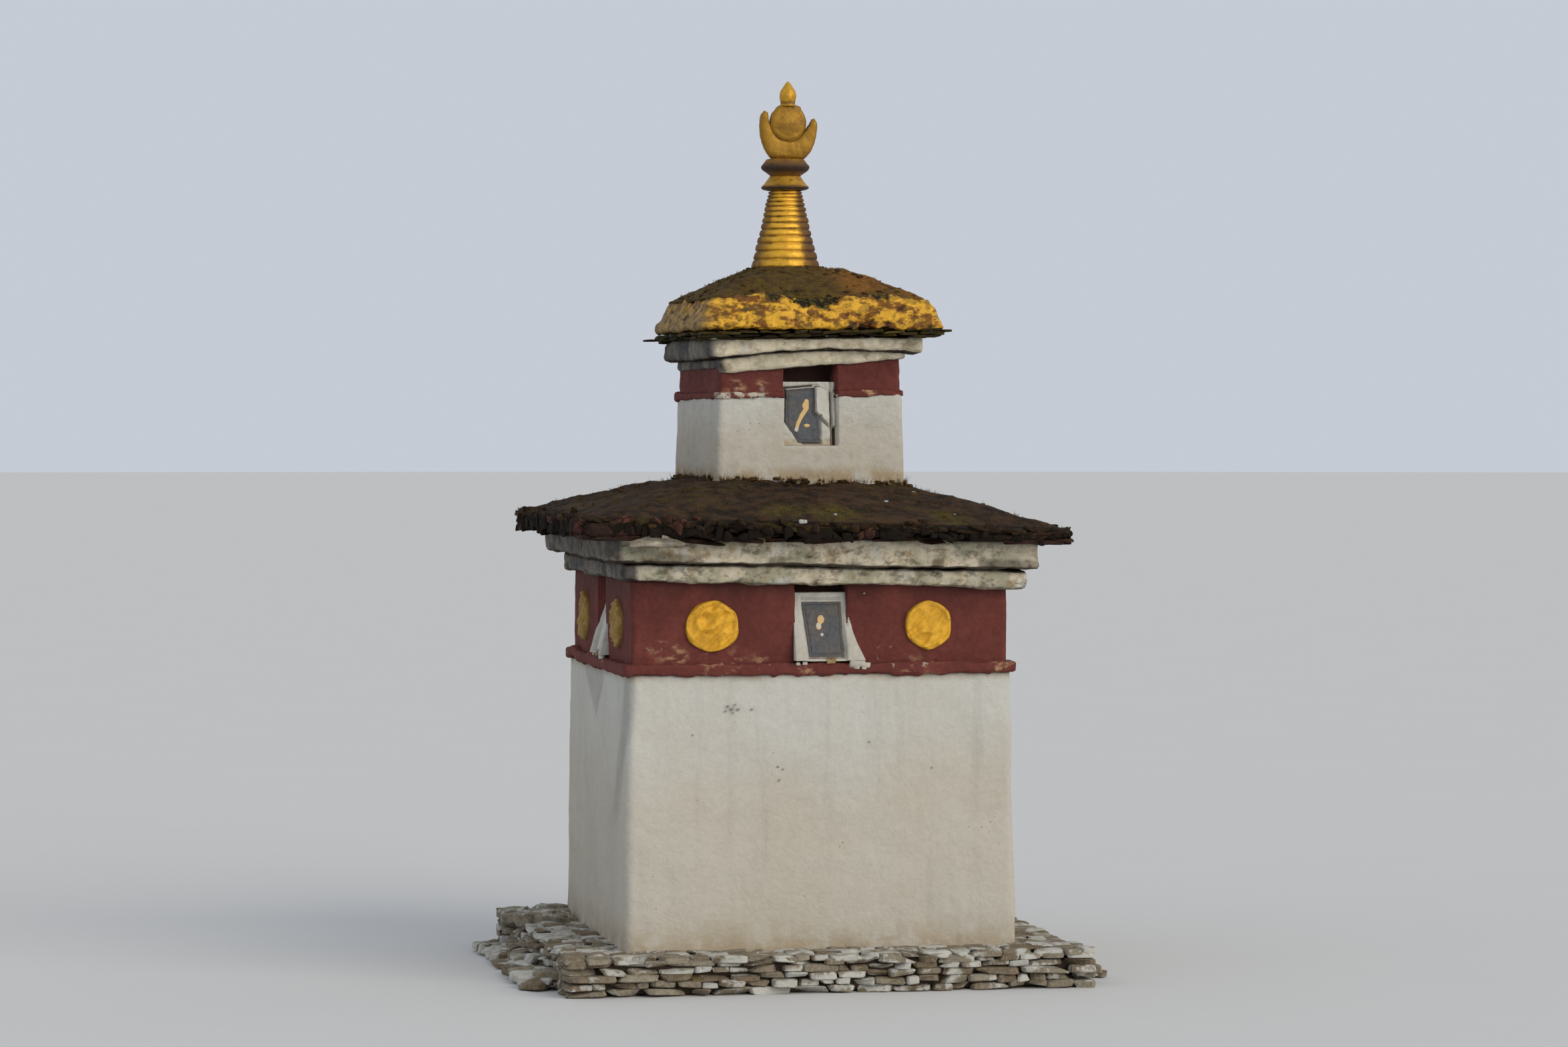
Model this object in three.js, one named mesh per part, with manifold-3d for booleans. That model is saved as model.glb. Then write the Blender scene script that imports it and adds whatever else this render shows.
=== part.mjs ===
// A two-storey square stupa of whitewashed rubble masonry, with red bands, stone-slab roofs
// and a gilt finial. Millimetres, +Z up, the front faces -Y, and the origin is at ground level
// under the centre of the plinth.
import * as THREE from 'three';
import { mergeVertices } from 'three/addons/utils/BufferGeometryUtils.js';
import Module from 'manifold-3d';

const wasm = await Module();
wasm.setup();

const { degToRad } = THREE.MathUtils;

// Joint left between neighbouring pieces, and how far a cutting solid runs past what it cuts
const JOINT = 0.3;
const PAST = 60;

// Plinth of dry-laid rubble round the foot of the body, with a low spill on the left and right
const PLINTH_HALF = 1810;
const PLINTH_TOP = 255;
const PLINTH_UNEVEN = 14;
const PLINTH_STONE = 300;
const PLINTH_HEAP = 45;
const SPILL_HALF = 2030;
const SPILL_TOP = 100;

// Lower storey, from the ground inside the plinth to the top of its cornice
const BODY_FOOT_HALF = 1346;
const BODY_TOP_HALF = 1315;
const BODY_TOP = 2100;
const STRING_HALF = 1350;
const STRING_TOP = 2170;
const BAND_HALF = 1288;
const BAND_TOP = 2700;
const CORNICE_LOWER_HALF = 1385;
const CORNICE_LOWER_TOP = 2827;
const CORNICE_LOWER_SHIFT = 30;
const CORNICE_UPPER_HALF = 1476;
const CORNICE_UPPER_TOP = 3030;
const CORNICE_CORNER = 40;
const CORNICE_EDGE = 20;
const CORNICE_FALL = degToRad(1.35);

// Niche in each side of the lower band: a leaning plaster bed holds a carved slate
const NICHE_WIDTH = 360;
const NICHE_DEPTH = 170;
const BED_TOE = 50;
const BED_TOE_HEIGHT = 12;
const BED_LEAN = degToRad(15);
const BED_HEAD_DROP = 55;
const BED_SPLAY = 105;
const SLATE_HEIGHT = 385;
const SLATE_TOP_LEFT = -157;
const SLATE_TOP_RIGHT = 137;
const SLATE_FOOT_LEFT = -92;
const SLATE_FOOT_RIGHT = 146;
const SLATE_THICK = 26;
const SLATE_PROUD = 6;
const SLATE_FOOT = 42;
const SEAT_GROWTH = 1.005;

// Gilt discs, two on each side of the lower band, the left one a little larger
const DISC_RADII = [175, 163];
const DISC_THICK = 30;
const DISC_OFFSET = 742;
const DISC_HEIGHT = 2425;

// Lower roof: a course of eave slabs under a mound of stone and turf, fallen to the right
const ROOF_FALL = degToRad(1.6);
const EAVE_HALF = 1680;
const EAVE_TOP = 3092;
const EAVE_INNER_HALF = 1000;
const EAVE_RAGGED = 26;
const EAVE_STONE = 210;
const MOUND_HALF = 1640;
const MOUND_RIM_TOP = 3128;
const MOUND_TOP_HALF = 560;
const MOUND_TOP = 3412;
const MOUND_SWELL = 22;
const MOUND_HIP_DROP = 26;
const TURF_LINES = [MOUND_HALF, 1370, 1100, 830, MOUND_TOP_HALF];
const TURF_WAVE = 16;

// Upper storey, a little turned and shifted on the lower one, as it was built
const UPPER_TURN = degToRad(3);
const UPPER_SHIFT = 28;
const UPPER_SEAT = 3330;
const UPPER_FOOT_HALF = 664;
const UPPER_TOP_HALF = 655;
const UPPER_TOP = 3965;
const UPPER_STRING_HALF = 684;
const UPPER_STRING_TOP = 4005;
const UPPER_BAND_HALF = 632;
const UPPER_BAND_TOP = 4160;
const UPPER_BAND_RISE = degToRad(3);
const UPPER_CORNICE_LOWER_HALF = 662;
const UPPER_CORNICE_LOWER_TOP = 4250;
const UPPER_CORNICE_LOWER_SHIFT = 12;
const UPPER_CORNICE_UPPER_HALF = 752;
const UPPER_CORNICE_UPPER_TOP = 4358;
const UPPER_CORNICE_UPPER_SHIFT = 25;
const UPPER_CORNICE_CORNER = 28;
const UPPER_CORNICE_EDGE = 12;

// Niche in the front of the upper storey, with a broken slate held by a lump of plaster
const UPPER_NICHE_WIDTH = 380;
const UPPER_NICHE_DEPTH = 190;
const UPPER_NICHE_SILL = 3632;
const UPPER_BED_TOE = -34;
const UPPER_BED_LEAN = degToRad(7);
const UPPER_BED_RISE = 420;
const UPPER_SLATE_FOOT = 4;
const UPPER_SLATE = [[-88, 6], [55, 0], [61, 391], [-186, 354], [-186, 134]];
const PLASTER_LUMP = [[66, 4], [128, 0], [150, 150], [136, 330], [70, 392]];
const PLASTER_LUMP_PROUD = 38;

// Upper roof, moved and turned on the storey below: thin slates, a gilt rim and a hipped cap
const UPPER_ROOF_SHIFT = 66;
const UPPER_ROOF_TURN = degToRad(-1.5);
const SLATES_LOWER_HALF = 872;
const SLATES_UPPER_HALF = 860;
const SLATES_COURSE = 33;
const RIM_FOOT_HALF = 846;
const RIM_TOP_HALF = 768;
const RIM_HEIGHT = 215;
const CAP_HALF = 740;
const CAP_TOP_HALF = 285;
const CAP_RIM = 12;
const CAP_RISE = 226;
const CAP_SWELL = 10;
const CAP_SHIFT = 47;

// Finial of gilt sheet metal
const SPIRE_HEIGHT = 540;
const SPIRE_RINGS = 13;
const SPIRE_FOOT_RADIUS = 236;
const SPIRE_TOP_RADIUS = 110;
const RING_DEPTH = 10;
const RING_NARROWING = 0.5;
const COLLAR_NECK_RADIUS = 104;
const COLLAR_FLARE_RADIUS = 161;
const COLLAR_TOP_RADIUS = 129;
const LOWER_COLLAR_HEIGHT = 105;
const UPPER_COLLAR_HEIGHT = 117;
const MOON_FOOT_HALF = 118;
const MOON_HALF = 206;
const MOON_DROP = 270;
const MOON_LEFT_HORN = 342;
const MOON_RIGHT_HORN = 288;
const MOON_THICK = 62;
const SUN_RADIUS = 132;
const SUN_CENTRE = 251;
const SUN_SEAT = 0.7;
const SUN_RIM = 34;
const SUN_THICK = 78;
const JEWEL_RADIUS = 65;
const JEWEL_HEIGHT = 158;
const ROUND_SEGMENTS = 32;

const PAINT = {
  whitewash: new THREE.MeshStandardMaterial({ color: 0xc9c0b2, roughness: 0.92, metalness: 0 }),
  redWash: new THREE.MeshStandardMaterial({ color: 0x5f2f2b, roughness: 0.9, metalness: 0 }),
  gilt: new THREE.MeshStandardMaterial({ color: 0xd9a441, roughness: 0.45, metalness: 0.6 }),
  carvedSlate: new THREE.MeshStandardMaterial({ color: 0x4b4c4f, roughness: 0.75, metalness: 0 }),
  rubble: new THREE.MeshStandardMaterial({ color: 0x9b8f7f, roughness: 0.95, metalness: 0 }),
  roofSlab: new THREE.MeshStandardMaterial({ color: 0x3d2f26, roughness: 0.9, metalness: 0 }),
  turf: new THREE.MeshStandardMaterial({ color: 0x463824, roughness: 1, metalness: 0 }),
};

const SIDES = [
  { name: 'front', turn: 0 },
  { name: 'right', turn: Math.PI / 2 },
  { name: 'back', turn: Math.PI },
  { name: 'left', turn: -Math.PI / 2 },
];

// A three.js geometry as a solid that can be cut and joined
function solid(geometry) {
  const bare = geometry.clone();
  bare.deleteAttribute('normal');
  bare.deleteAttribute('uv');
  const merged = mergeVertices(bare, 1e-3);
  return new wasm.Manifold(new wasm.Mesh({
    numProp: 3,
    vertProperties: new Float32Array(merged.attributes.position.array),
    triVerts: new Uint32Array(merged.index.array),
  }));
}

// A cut or joined solid back as a three.js geometry
function geometryOf(body) {
  const mesh = body.getMesh();
  const geometry = new THREE.BufferGeometry();
  geometry.setAttribute('position', new THREE.BufferAttribute(mesh.vertProperties, mesh.numProp));
  geometry.setIndex(new THREE.BufferAttribute(mesh.triVerts, 1));
  geometry.computeVertexNormals();
  return geometry;
}

function node(name, geometry, material) {
  const mesh = new THREE.Mesh(geometry, material);
  mesh.name = name;
  return mesh;
}

// A box given by its lowest and highest corners
function box(low, high) {
  const size = high.map((value, axis) => value - low[axis]);
  const middle = high.map((value, axis) => (value + low[axis]) / 2);
  return new THREE.BoxGeometry(...size).translate(...middle);
}

// A square block centred on the axis
function block(half, bottom, top) {
  return box([-half, -half, bottom], [half, half, top]);
}

// A square block whose sides lean in from the foot to the top
function taperedBlock(footHalf, topHalf, bottom, top) {
  return new THREE.CylinderGeometry(topHalf * Math.SQRT2, footHalf * Math.SQRT2, top - bottom, 4, 1)
    .rotateY(Math.PI / 4)
    .rotateX(Math.PI / 2)
    .translate(0, 0, (bottom + top) / 2);
}

// An outline in plan, carried straight up
function prism(outline, bottom, top) {
  const shape = new THREE.Shape(outline.map(([x, y]) => new THREE.Vector2(x, y)));
  return new THREE.ExtrudeGeometry(shape, { depth: top - bottom, bevelEnabled: false })
    .translate(0, 0, bottom);
}

// An outline in elevation (x across, z up), carried from the near y to the far y
function panel(outline, nearY, farY) {
  return prism(outline, -farY, -nearY).rotateX(Math.PI / 2);
}

// A section (distance out from the axis, z) of the front side, carried across from x to x
function moulding(section, fromX, toX) {
  return prism(section.map(([out, z]) => [-out, z]), fromX, toX)
    .rotateX(Math.PI / 2)
    .rotateZ(Math.PI / 2);
}

// A geometry turned about the y line at height z, so that its +x side falls
function fallen(geometry, z, angle) {
  return geometry.translate(0, 0, -z).rotateY(angle).translate(0, 0, z);
}

// A geometry of the lower cornice, whose courses fall to the right
function asCornice(geometry) {
  return fallen(geometry, CORNICE_LOWER_TOP, CORNICE_FALL);
}

// A plastered slab course with soft corners and edges
function course(half, bottom, top, corner, edge) {
  const reach = half - edge;
  const straight = reach - corner;
  const shape = new THREE.Shape();
  shape.absarc(straight, straight, corner, 0, Math.PI / 2);
  shape.absarc(-straight, straight, corner, Math.PI / 2, Math.PI);
  shape.absarc(-straight, -straight, corner, Math.PI, Math.PI * 1.5);
  shape.absarc(straight, -straight, corner, Math.PI * 1.5, Math.PI * 2);
  return new THREE.ExtrudeGeometry(shape, {
    depth: top - bottom - 2 * edge,
    bevelEnabled: true,
    bevelThickness: edge,
    bevelSize: edge,
    bevelSegments: 2,
    curveSegments: 3,
  }).translate(0, 0, bottom + edge);
}

// A repeatable uneven value from -1 to 1, for stone edges
function uneven(step, phase) {
  return 0.6 * Math.sin(2.7 * step + phase) + 0.4 * Math.sin(5.3 * step + 2.1 * phase);
}

// One plinth wall as an elevation of stones with uneven tops, its low spill in front of it
function plinthWall(half, phase, heap, spill) {
  const inner = -BODY_FOOT_HALF - JOINT;
  const stones = Math.round((2 * half) / PLINTH_STONE);
  const outline = [[-half, 0], [half, 0]];
  for (let stone = stones - 1; stone >= 0; stone -= 1) {
    const left = -half + (2 * half * stone) / stones;
    const right = -half + (2 * half * (stone + 1)) / stones;
    const raised = stone < 2 ? heap : 0;
    const top = PLINTH_TOP + PLINTH_UNEVEN * uneven(stone, phase) + raised;
    outline.push([right, top], [left, top]);
  }
  const wall = solid(panel(outline, -PLINTH_HALF, inner));
  if (!spill) return geometryOf(wall);
  const low = box([-half, -SPILL_HALF, 0], [half, inner, SPILL_TOP]);
  return geometryOf(wall.add(solid(low)));
}

function plinth(group) {
  SIDES.forEach(({ name, turn }, index) => {
    const beside = name === 'left' || name === 'right';
    const half = beside ? BODY_FOOT_HALF : PLINTH_HALF;
    const heap = name === 'left' ? PLINTH_HEAP : 0;
    const wall = node(`plinth_${name}`, plinthWall(half, index, heap, beside), PAINT.rubble);
    wall.rotation.z = turn;
    group.add(wall);
  });
}

// The sloping face of a plaster bed in front of a wall face that stands out by faceHalf
function slopeOf(faceHalf, toe, footZ, lean) {
  return { out: faceHalf + toe, footZ, lean };
}

// The section point some way up a slope and lifted off it: distance out, and height
function onSlope(slope, along, lift) {
  const { out, footZ, lean } = slope;
  return [
    out - along * Math.sin(lean) + lift * Math.cos(lean),
    footZ + along * Math.cos(lean) + lift * Math.sin(lean),
  ];
}

// A panel drawn upright on y = 0, laid on a slope with its foot that far up it
function laidOnSlope(geometry, slope, along, lift) {
  const [out, z] = onSlope(slope, along, lift);
  return geometry.rotateX(-slope.lean).translate(0, -out, z);
}

const LOWER_SLOPE = slopeOf(BAND_HALF, BED_TOE, STRING_TOP + BED_TOE_HEIGHT, BED_LEAN);
const UPPER_SLOPE = slopeOf(
  UPPER_TOP_HALF, UPPER_BED_TOE, UPPER_NICHE_SILL + BED_TOE_HEIGHT, UPPER_BED_LEAN,
);

// A slate's outline, its left edge drawn in towards the foot; growth leaves room round it
function slatePanel(growth) {
  const middle = SLATE_HEIGHT / 2;
  const outline = [
    [SLATE_FOOT_LEFT, 0],
    [SLATE_FOOT_RIGHT, 0],
    [SLATE_TOP_RIGHT, SLATE_HEIGHT],
    [SLATE_TOP_LEFT, SLATE_HEIGHT],
  ].map(([x, z]) => [x * growth, middle + (z - middle) * growth]);
  return panel(outline, -SLATE_THICK, 0);
}

// The plaster bed of one lower niche: inside the niche, and splayed over the band beside it
function nicheBed() {
  const bottom = STRING_TOP + JOINT;
  const back = BAND_HALF - NICHE_DEPTH + JOINT;
  const headZ = BAND_TOP - BED_HEAD_DROP;
  const headAlong = (headZ - LOWER_SLOPE.footZ) / Math.cos(BED_LEAN);
  const left = -NICHE_WIDTH / 2 + JOINT;
  const right = NICHE_WIDTH / 2 - JOINT;
  const wedge = solid(moulding([
    [back, bottom],
    [back, headZ],
    onSlope(LOWER_SLOPE, headAlong, 0),
    onSlope(LOWER_SLOPE, 0, 0),
    [LOWER_SLOPE.out, bottom],
  ], left, right + BED_SPLAY));
  const splay = solid(panel([
    [left - 1, bottom - 1],
    [right + BED_SPLAY, bottom - 1],
    [right, headZ + 1],
    [left - 1, headZ + 1],
  ], -LOWER_SLOPE.out - 1, -back + 1));
  const bandBeside = solid(box(
    [right, -BAND_HALF - JOINT, bottom - 1],
    [right + BED_SPLAY + 1, -back + 1, headZ + 1],
  ));
  const sunk = SLATE_THICK - SLATE_PROUD + JOINT;
  const seat = solid(laidOnSlope(slatePanel(SEAT_GROWTH), LOWER_SLOPE, SLATE_FOOT, -sunk));
  return geometryOf(wedge.intersect(splay).subtract(bandBeside).subtract(seat));
}

function nicheSlate() {
  return laidOnSlope(slatePanel(1), LOWER_SLOPE, SLATE_FOOT, SLATE_PROUD - SLATE_THICK);
}

// The lower band up to the cornice, which falls to the right
function lowerBand() {
  const aboveBand = solid(asCornice(block(2 * BAND_HALF, BAND_TOP, BAND_TOP + 5 * PAST)));
  let band = solid(block(BAND_HALF, STRING_TOP + JOINT, BAND_TOP + PAST)).subtract(aboveBand);
  SIDES.forEach(({ turn }) => {
    const niche = box(
      [-NICHE_WIDTH / 2, -BAND_HALF - 1, STRING_TOP],
      [NICHE_WIDTH / 2, -BAND_HALF + NICHE_DEPTH, BAND_TOP + PAST + 1],
    );
    band = band.subtract(solid(niche.rotateZ(turn)));
  });
  return geometryOf(band);
}

// A gilt disc with a raised rim and a low boss, standing on the plane y = 0
function giltDisc(radius) {
  const profile = [
    [0, 0],
    [radius, 0],
    [radius * 0.96, DISC_THICK],
    [radius * 0.8, DISC_THICK * 0.6],
    [0, DISC_THICK],
  ].map(([across, out]) => new THREE.Vector2(across, out));
  return new THREE.LatheGeometry(profile, ROUND_SEGMENTS).rotateX(Math.PI);
}

function lowerStorey(group) {
  const lowerCourse = course(
    CORNICE_LOWER_HALF, BAND_TOP + JOINT, CORNICE_LOWER_TOP, CORNICE_CORNER, CORNICE_EDGE,
  ).translate(CORNICE_LOWER_SHIFT, 0, 0);
  const upperCourse = solid(asCornice(course(
    CORNICE_UPPER_HALF, CORNICE_LOWER_TOP + JOINT, CORNICE_UPPER_TOP + 2 * PAST,
    CORNICE_CORNER, CORNICE_EDGE,
  )));
  const aboveCornice = solid(fallen(
    block(2 * CORNICE_UPPER_HALF, CORNICE_UPPER_TOP, CORNICE_UPPER_TOP + 5 * PAST),
    CORNICE_UPPER_TOP, ROOF_FALL,
  ));
  group.add(
    node('body', taperedBlock(BODY_FOOT_HALF, BODY_TOP_HALF, 0, BODY_TOP), PAINT.whitewash),
    node('string_course', block(STRING_HALF, BODY_TOP + JOINT, STRING_TOP), PAINT.redWash),
    node('red_band', lowerBand(), PAINT.redWash),
    node('cornice_lower_course', asCornice(lowerCourse), PAINT.whitewash),
    node('cornice_upper_course', geometryOf(upperCourse.subtract(aboveCornice)), PAINT.whitewash),
  );
  SIDES.forEach(({ name, turn }) => {
    const side = new THREE.Group();
    side.rotation.z = turn;
    side.add(
      node(`niche_bed_${name}`, nicheBed(), PAINT.whitewash),
      node(`niche_slate_${name}`, nicheSlate(), PAINT.carvedSlate),
    );
    ['a', 'b'].forEach((letter, which) => {
      const disc = node(`gilt_disc_${name}_${letter}`, giltDisc(DISC_RADII[which]), PAINT.gilt);
      disc.position.set((2 * which - 1) * DISC_OFFSET, -BAND_HALF - JOINT, DISC_HEIGHT);
      side.add(disc);
    });
    group.add(side);
  });
}

// The eave slabs of the front side: a ragged outer edge, mitred at the corners
function eaveSlabs(phase) {
  const stones = Math.round((2 * EAVE_HALF) / EAVE_STONE);
  const outline = [];
  for (let stone = 0; stone <= stones; stone += 1) {
    const across = -EAVE_HALF + (2 * EAVE_HALF * stone) / stones;
    const atCorner = stone === 0 || stone === stones;
    const inset = atCorner ? 0 : EAVE_RAGGED * (0.5 + 0.5 * uneven(stone, phase));
    outline.push([across, -EAVE_HALF + inset]);
  }
  outline.push([EAVE_INNER_HALF, -EAVE_INNER_HALF], [-EAVE_INNER_HALF, -EAVE_INNER_HALF]);
  const bottom = CORNICE_UPPER_TOP + JOINT;
  const past = 2 * EAVE_HALF;
  const quarter = prism(
    [[0, -JOINT], [-past, -past - JOINT], [past, -past - JOINT]], bottom - 1, EAVE_TOP + 1,
  );
  return geometryOf(solid(prism(outline, bottom, EAVE_TOP)).intersect(solid(quarter)));
}

// How far the turf swells up or sinks at a place on the lower roof
function turfWave(x, y) {
  return TURF_WAVE * (0.6 * Math.sin(x / 150 + 1) * Math.cos(y / 165 + 0.4)
    + 0.4 * Math.sin((x + y) / 210 + 2));
}

// The turfed mound of the lower roof: a grid of heights over a flat square base, hipped and lower
// towards the corners, each a swelling slope's height at the grid line further out plus the
// turf's own wave
function turfMound(bottom) {
  const lines = [...TURF_LINES.map((out) => -out), 0, ...[...TURF_LINES].reverse()];
  const slopeHeight = (out) => {
    const share = Math.min(1, (MOUND_HALF - out) / (MOUND_HALF - MOUND_TOP_HALF));
    return MOUND_RIM_TOP + (MOUND_TOP - MOUND_RIM_TOP) * share
      + MOUND_SWELL * Math.sin(Math.PI * share);
  };
  const count = lines.length;
  const top = [];
  const base = [];
  lines.forEach((y) => lines.forEach((x) => {
    const out = Math.max(Math.abs(x), Math.abs(y));
    const calm = out === MOUND_HALF ? 0.4 : 1;
    const hip = out === 0 ? 0 : Math.min(Math.abs(x), Math.abs(y)) / out;
    top.push([x, y, slopeHeight(out) + calm * turfWave(x, y) - MOUND_HIP_DROP * hip * hip]);
    base.push([x, y, bottom]);
  }));
  const index = [];
  const below = top.length;
  for (let row = 0; row + 1 < count; row += 1) {
    for (let column = 0; column + 1 < count; column += 1) {
      const a = row * count + column;
      const [b, c, d] = [a + 1, a + count + 1, a + count];
      const alongHip = (row < count / 2 - 1) === (column < count / 2 - 1);
      const halves = alongHip ? [a, b, c, a, c, d] : [a, b, d, b, c, d];
      index.push(...halves);
      const under = halves.map((corner) => corner + below);
      index.push(under[0], under[2], under[1], under[3], under[5], under[4]);
    }
  }
  for (let step = 0; step + 1 < count; step += 1) {
    const last = count * (count - 1);
    [
      [step, step + 1],
      [count * step + count - 1, count * (step + 1) + count - 1],
      [last + step + 1, last + step],
      [count * (step + 1), count * step],
    ].forEach(([from, to]) => {
      index.push(from + below, to + below, to, from + below, to, from);
    });
  }
  const geometry = new THREE.BufferGeometry();
  geometry.setAttribute('position', new THREE.Float32BufferAttribute([...top, ...base].flat(), 3));
  geometry.setIndex(index);
  return geometry;
}

// The section of a hipped cap across the whole building: a rim, then a swelling slope
function capSection(half, topHalf, bottom, rimTop, top, swell) {
  const steps = 4;
  const right = [];
  for (let step = 0; step <= steps; step += 1) {
    const share = step / steps;
    right.push([
      half + (topHalf - half) * share,
      rimTop + (top - rimTop) * share + swell * Math.sin(Math.PI * share),
    ]);
  }
  const left = right.map(([x, z]) => [-x, z]).reverse();
  return [[-half, bottom], [half, bottom], ...right, ...left];
}

// A hipped cap: what the section gives when carried along x and along y alike
function hippedCap(section, half) {
  const along = panel(section, -half - 1, half + 1);
  return solid(along).intersect(solid(along.clone().rotateZ(Math.PI / 2)));
}

// From the upper storey's own frame to the building's
function asUpper(geometry) {
  return geometry.rotateZ(UPPER_TURN).translate(UPPER_SHIFT, 0, 0);
}

function lowerRoof(group) {
  const bottom = EAVE_TOP + JOINT;
  const core = solid(block(EAVE_INNER_HALF - JOINT, CORNICE_UPPER_TOP + JOINT, EAVE_TOP + 1));
  const leaning = fallen(
    geometryOf(solid(turfMound(bottom)).add(core)), CORNICE_UPPER_TOP, ROOF_FALL,
  );
  const socket = asUpper(block(UPPER_FOOT_HALF + JOINT, UPPER_SEAT, MOUND_TOP + PAST));
  SIDES.forEach(({ name, turn }, index) => {
    const slabs = fallen(eaveSlabs(index).rotateZ(turn), CORNICE_UPPER_TOP, ROOF_FALL);
    group.add(node(`eave_slabs_${name}`, slabs, PAINT.roofSlab));
  });
  group.add(node('roof_mound', geometryOf(solid(leaning).subtract(solid(socket))), PAINT.turf));
}

// The broken slate of the upper niche, leaning on its bed
function upperSlate() {
  const outline = panel(UPPER_SLATE, -SLATE_THICK, 0);
  return laidOnSlope(outline, UPPER_SLOPE, UPPER_SLATE_FOOT, JOINT);
}

// The plaster bed of the upper niche, with the lump that holds the slate's right side
function upperBed() {
  const back = UPPER_TOP_HALF - UPPER_NICHE_DEPTH + JOINT;
  const bottom = UPPER_NICHE_SILL + JOINT;
  const head = onSlope(UPPER_SLOPE, UPPER_BED_RISE, 0);
  const wedge = moulding([
    [back, bottom],
    [back, head[1]],
    head,
    onSlope(UPPER_SLOPE, 0, 0),
    [UPPER_SLOPE.out, bottom],
  ], -UPPER_NICHE_WIDTH / 2 + JOINT, UPPER_NICHE_WIDTH / 2 - JOINT);
  const lump = laidOnSlope(
    panel(PLASTER_LUMP, -PLASTER_LUMP_PROUD - 1, 0), UPPER_SLOPE, UPPER_SLATE_FOOT, -1,
  );
  return geometryOf(solid(wedge).add(solid(lump)));
}

function upperStorey(group) {
  const niche = solid(box(
    [-UPPER_NICHE_WIDTH / 2, -UPPER_STRING_HALF - 1, UPPER_NICHE_SILL],
    [UPPER_NICHE_WIDTH / 2, -UPPER_TOP_HALF + UPPER_NICHE_DEPTH, UPPER_BAND_TOP + PAST],
  ));
  const body = solid(taperedBlock(
    UPPER_FOOT_HALF, UPPER_TOP_HALF, UPPER_SEAT + JOINT, UPPER_TOP,
  ));
  const string = solid(block(UPPER_STRING_HALF, UPPER_TOP + JOINT, UPPER_STRING_TOP));
  const band = solid(block(UPPER_BAND_HALF, UPPER_STRING_TOP + JOINT, UPPER_BAND_TOP + PAST));
  const aboveBand = solid(fallen(
    block(2 * UPPER_BAND_HALF, UPPER_BAND_TOP, UPPER_BAND_TOP + 5 * PAST),
    UPPER_BAND_TOP, -UPPER_BAND_RISE,
  ));
  const belowCornice = solid(fallen(
    block(2 * UPPER_BAND_HALF, UPPER_BAND_TOP - 5 * PAST, UPPER_BAND_TOP + JOINT),
    UPPER_BAND_TOP, -UPPER_BAND_RISE,
  ));
  const lowerCourse = solid(course(
    UPPER_CORNICE_LOWER_HALF, UPPER_BAND_TOP - PAST, UPPER_CORNICE_LOWER_TOP,
    UPPER_CORNICE_CORNER, UPPER_CORNICE_EDGE,
  ).translate(UPPER_CORNICE_LOWER_SHIFT, 0, 0));
  group.add(
    node('upper_body', geometryOf(body.subtract(niche)), PAINT.whitewash),
    node('upper_string_course', geometryOf(string.subtract(niche)), PAINT.redWash),
    node('upper_red_band', geometryOf(band.subtract(aboveBand).subtract(niche)), PAINT.redWash),
    node('upper_niche_bed', upperBed(), PAINT.whitewash),
    node('upper_niche_slate', upperSlate(), PAINT.carvedSlate),
    node('upper_cornice_lower_course', geometryOf(lowerCourse.subtract(belowCornice)),
      PAINT.whitewash),
    node('upper_cornice_upper_course', course(
      UPPER_CORNICE_UPPER_HALF, UPPER_CORNICE_LOWER_TOP + JOINT, UPPER_CORNICE_UPPER_TOP,
      UPPER_CORNICE_CORNER, UPPER_CORNICE_EDGE,
    ).translate(UPPER_CORNICE_UPPER_SHIFT, 0, 0), PAINT.whitewash),
  );
}

// From the upper roof's own frame to the upper storey's
function asUpperRoof(geometry) {
  return geometry.rotateZ(UPPER_ROOF_TURN).translate(UPPER_ROOF_SHIFT, 0, 0);
}

function upperRoof(group) {
  const slatesBottom = UPPER_CORNICE_UPPER_TOP + JOINT;
  const slatesTop = UPPER_CORNICE_UPPER_TOP + 2 * SLATES_COURSE;
  const rimTop = slatesTop + RIM_HEIGHT;
  const slates = solid(block(SLATES_LOWER_HALF, slatesBottom, slatesBottom + SLATES_COURSE))
    .add(solid(block(SLATES_UPPER_HALF, slatesBottom + 1, slatesTop)));
  const section = capSection(
    CAP_HALF, CAP_TOP_HALF, rimTop + JOINT, rimTop + CAP_RIM, rimTop + CAP_RISE, CAP_SWELL,
  );
  const rim = taperedBlock(RIM_FOOT_HALF, RIM_TOP_HALF, slatesTop + JOINT, rimTop);
  const cap = geometryOf(hippedCap(section, CAP_HALF)).rotateZ(UPPER_ROOF_TURN);
  group.add(
    node('upper_eave_slates', asUpperRoof(geometryOf(slates)), PAINT.roofSlab),
    node('gilt_rim', asUpperRoof(rim), PAINT.gilt),
    node('roof_cap', cap.translate(CAP_SHIFT, 0, 0), PAINT.turf),
  );
  return rimTop + CAP_RISE;
}

// A turned piece from its profile of radius and height, standing at height z
function turned(profile, z) {
  const points = profile.map(([radius, height]) => new THREE.Vector2(radius, height));
  return new THREE.LatheGeometry(points, ROUND_SEGMENTS).rotateX(Math.PI / 2).translate(0, 0, z);
}

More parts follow.
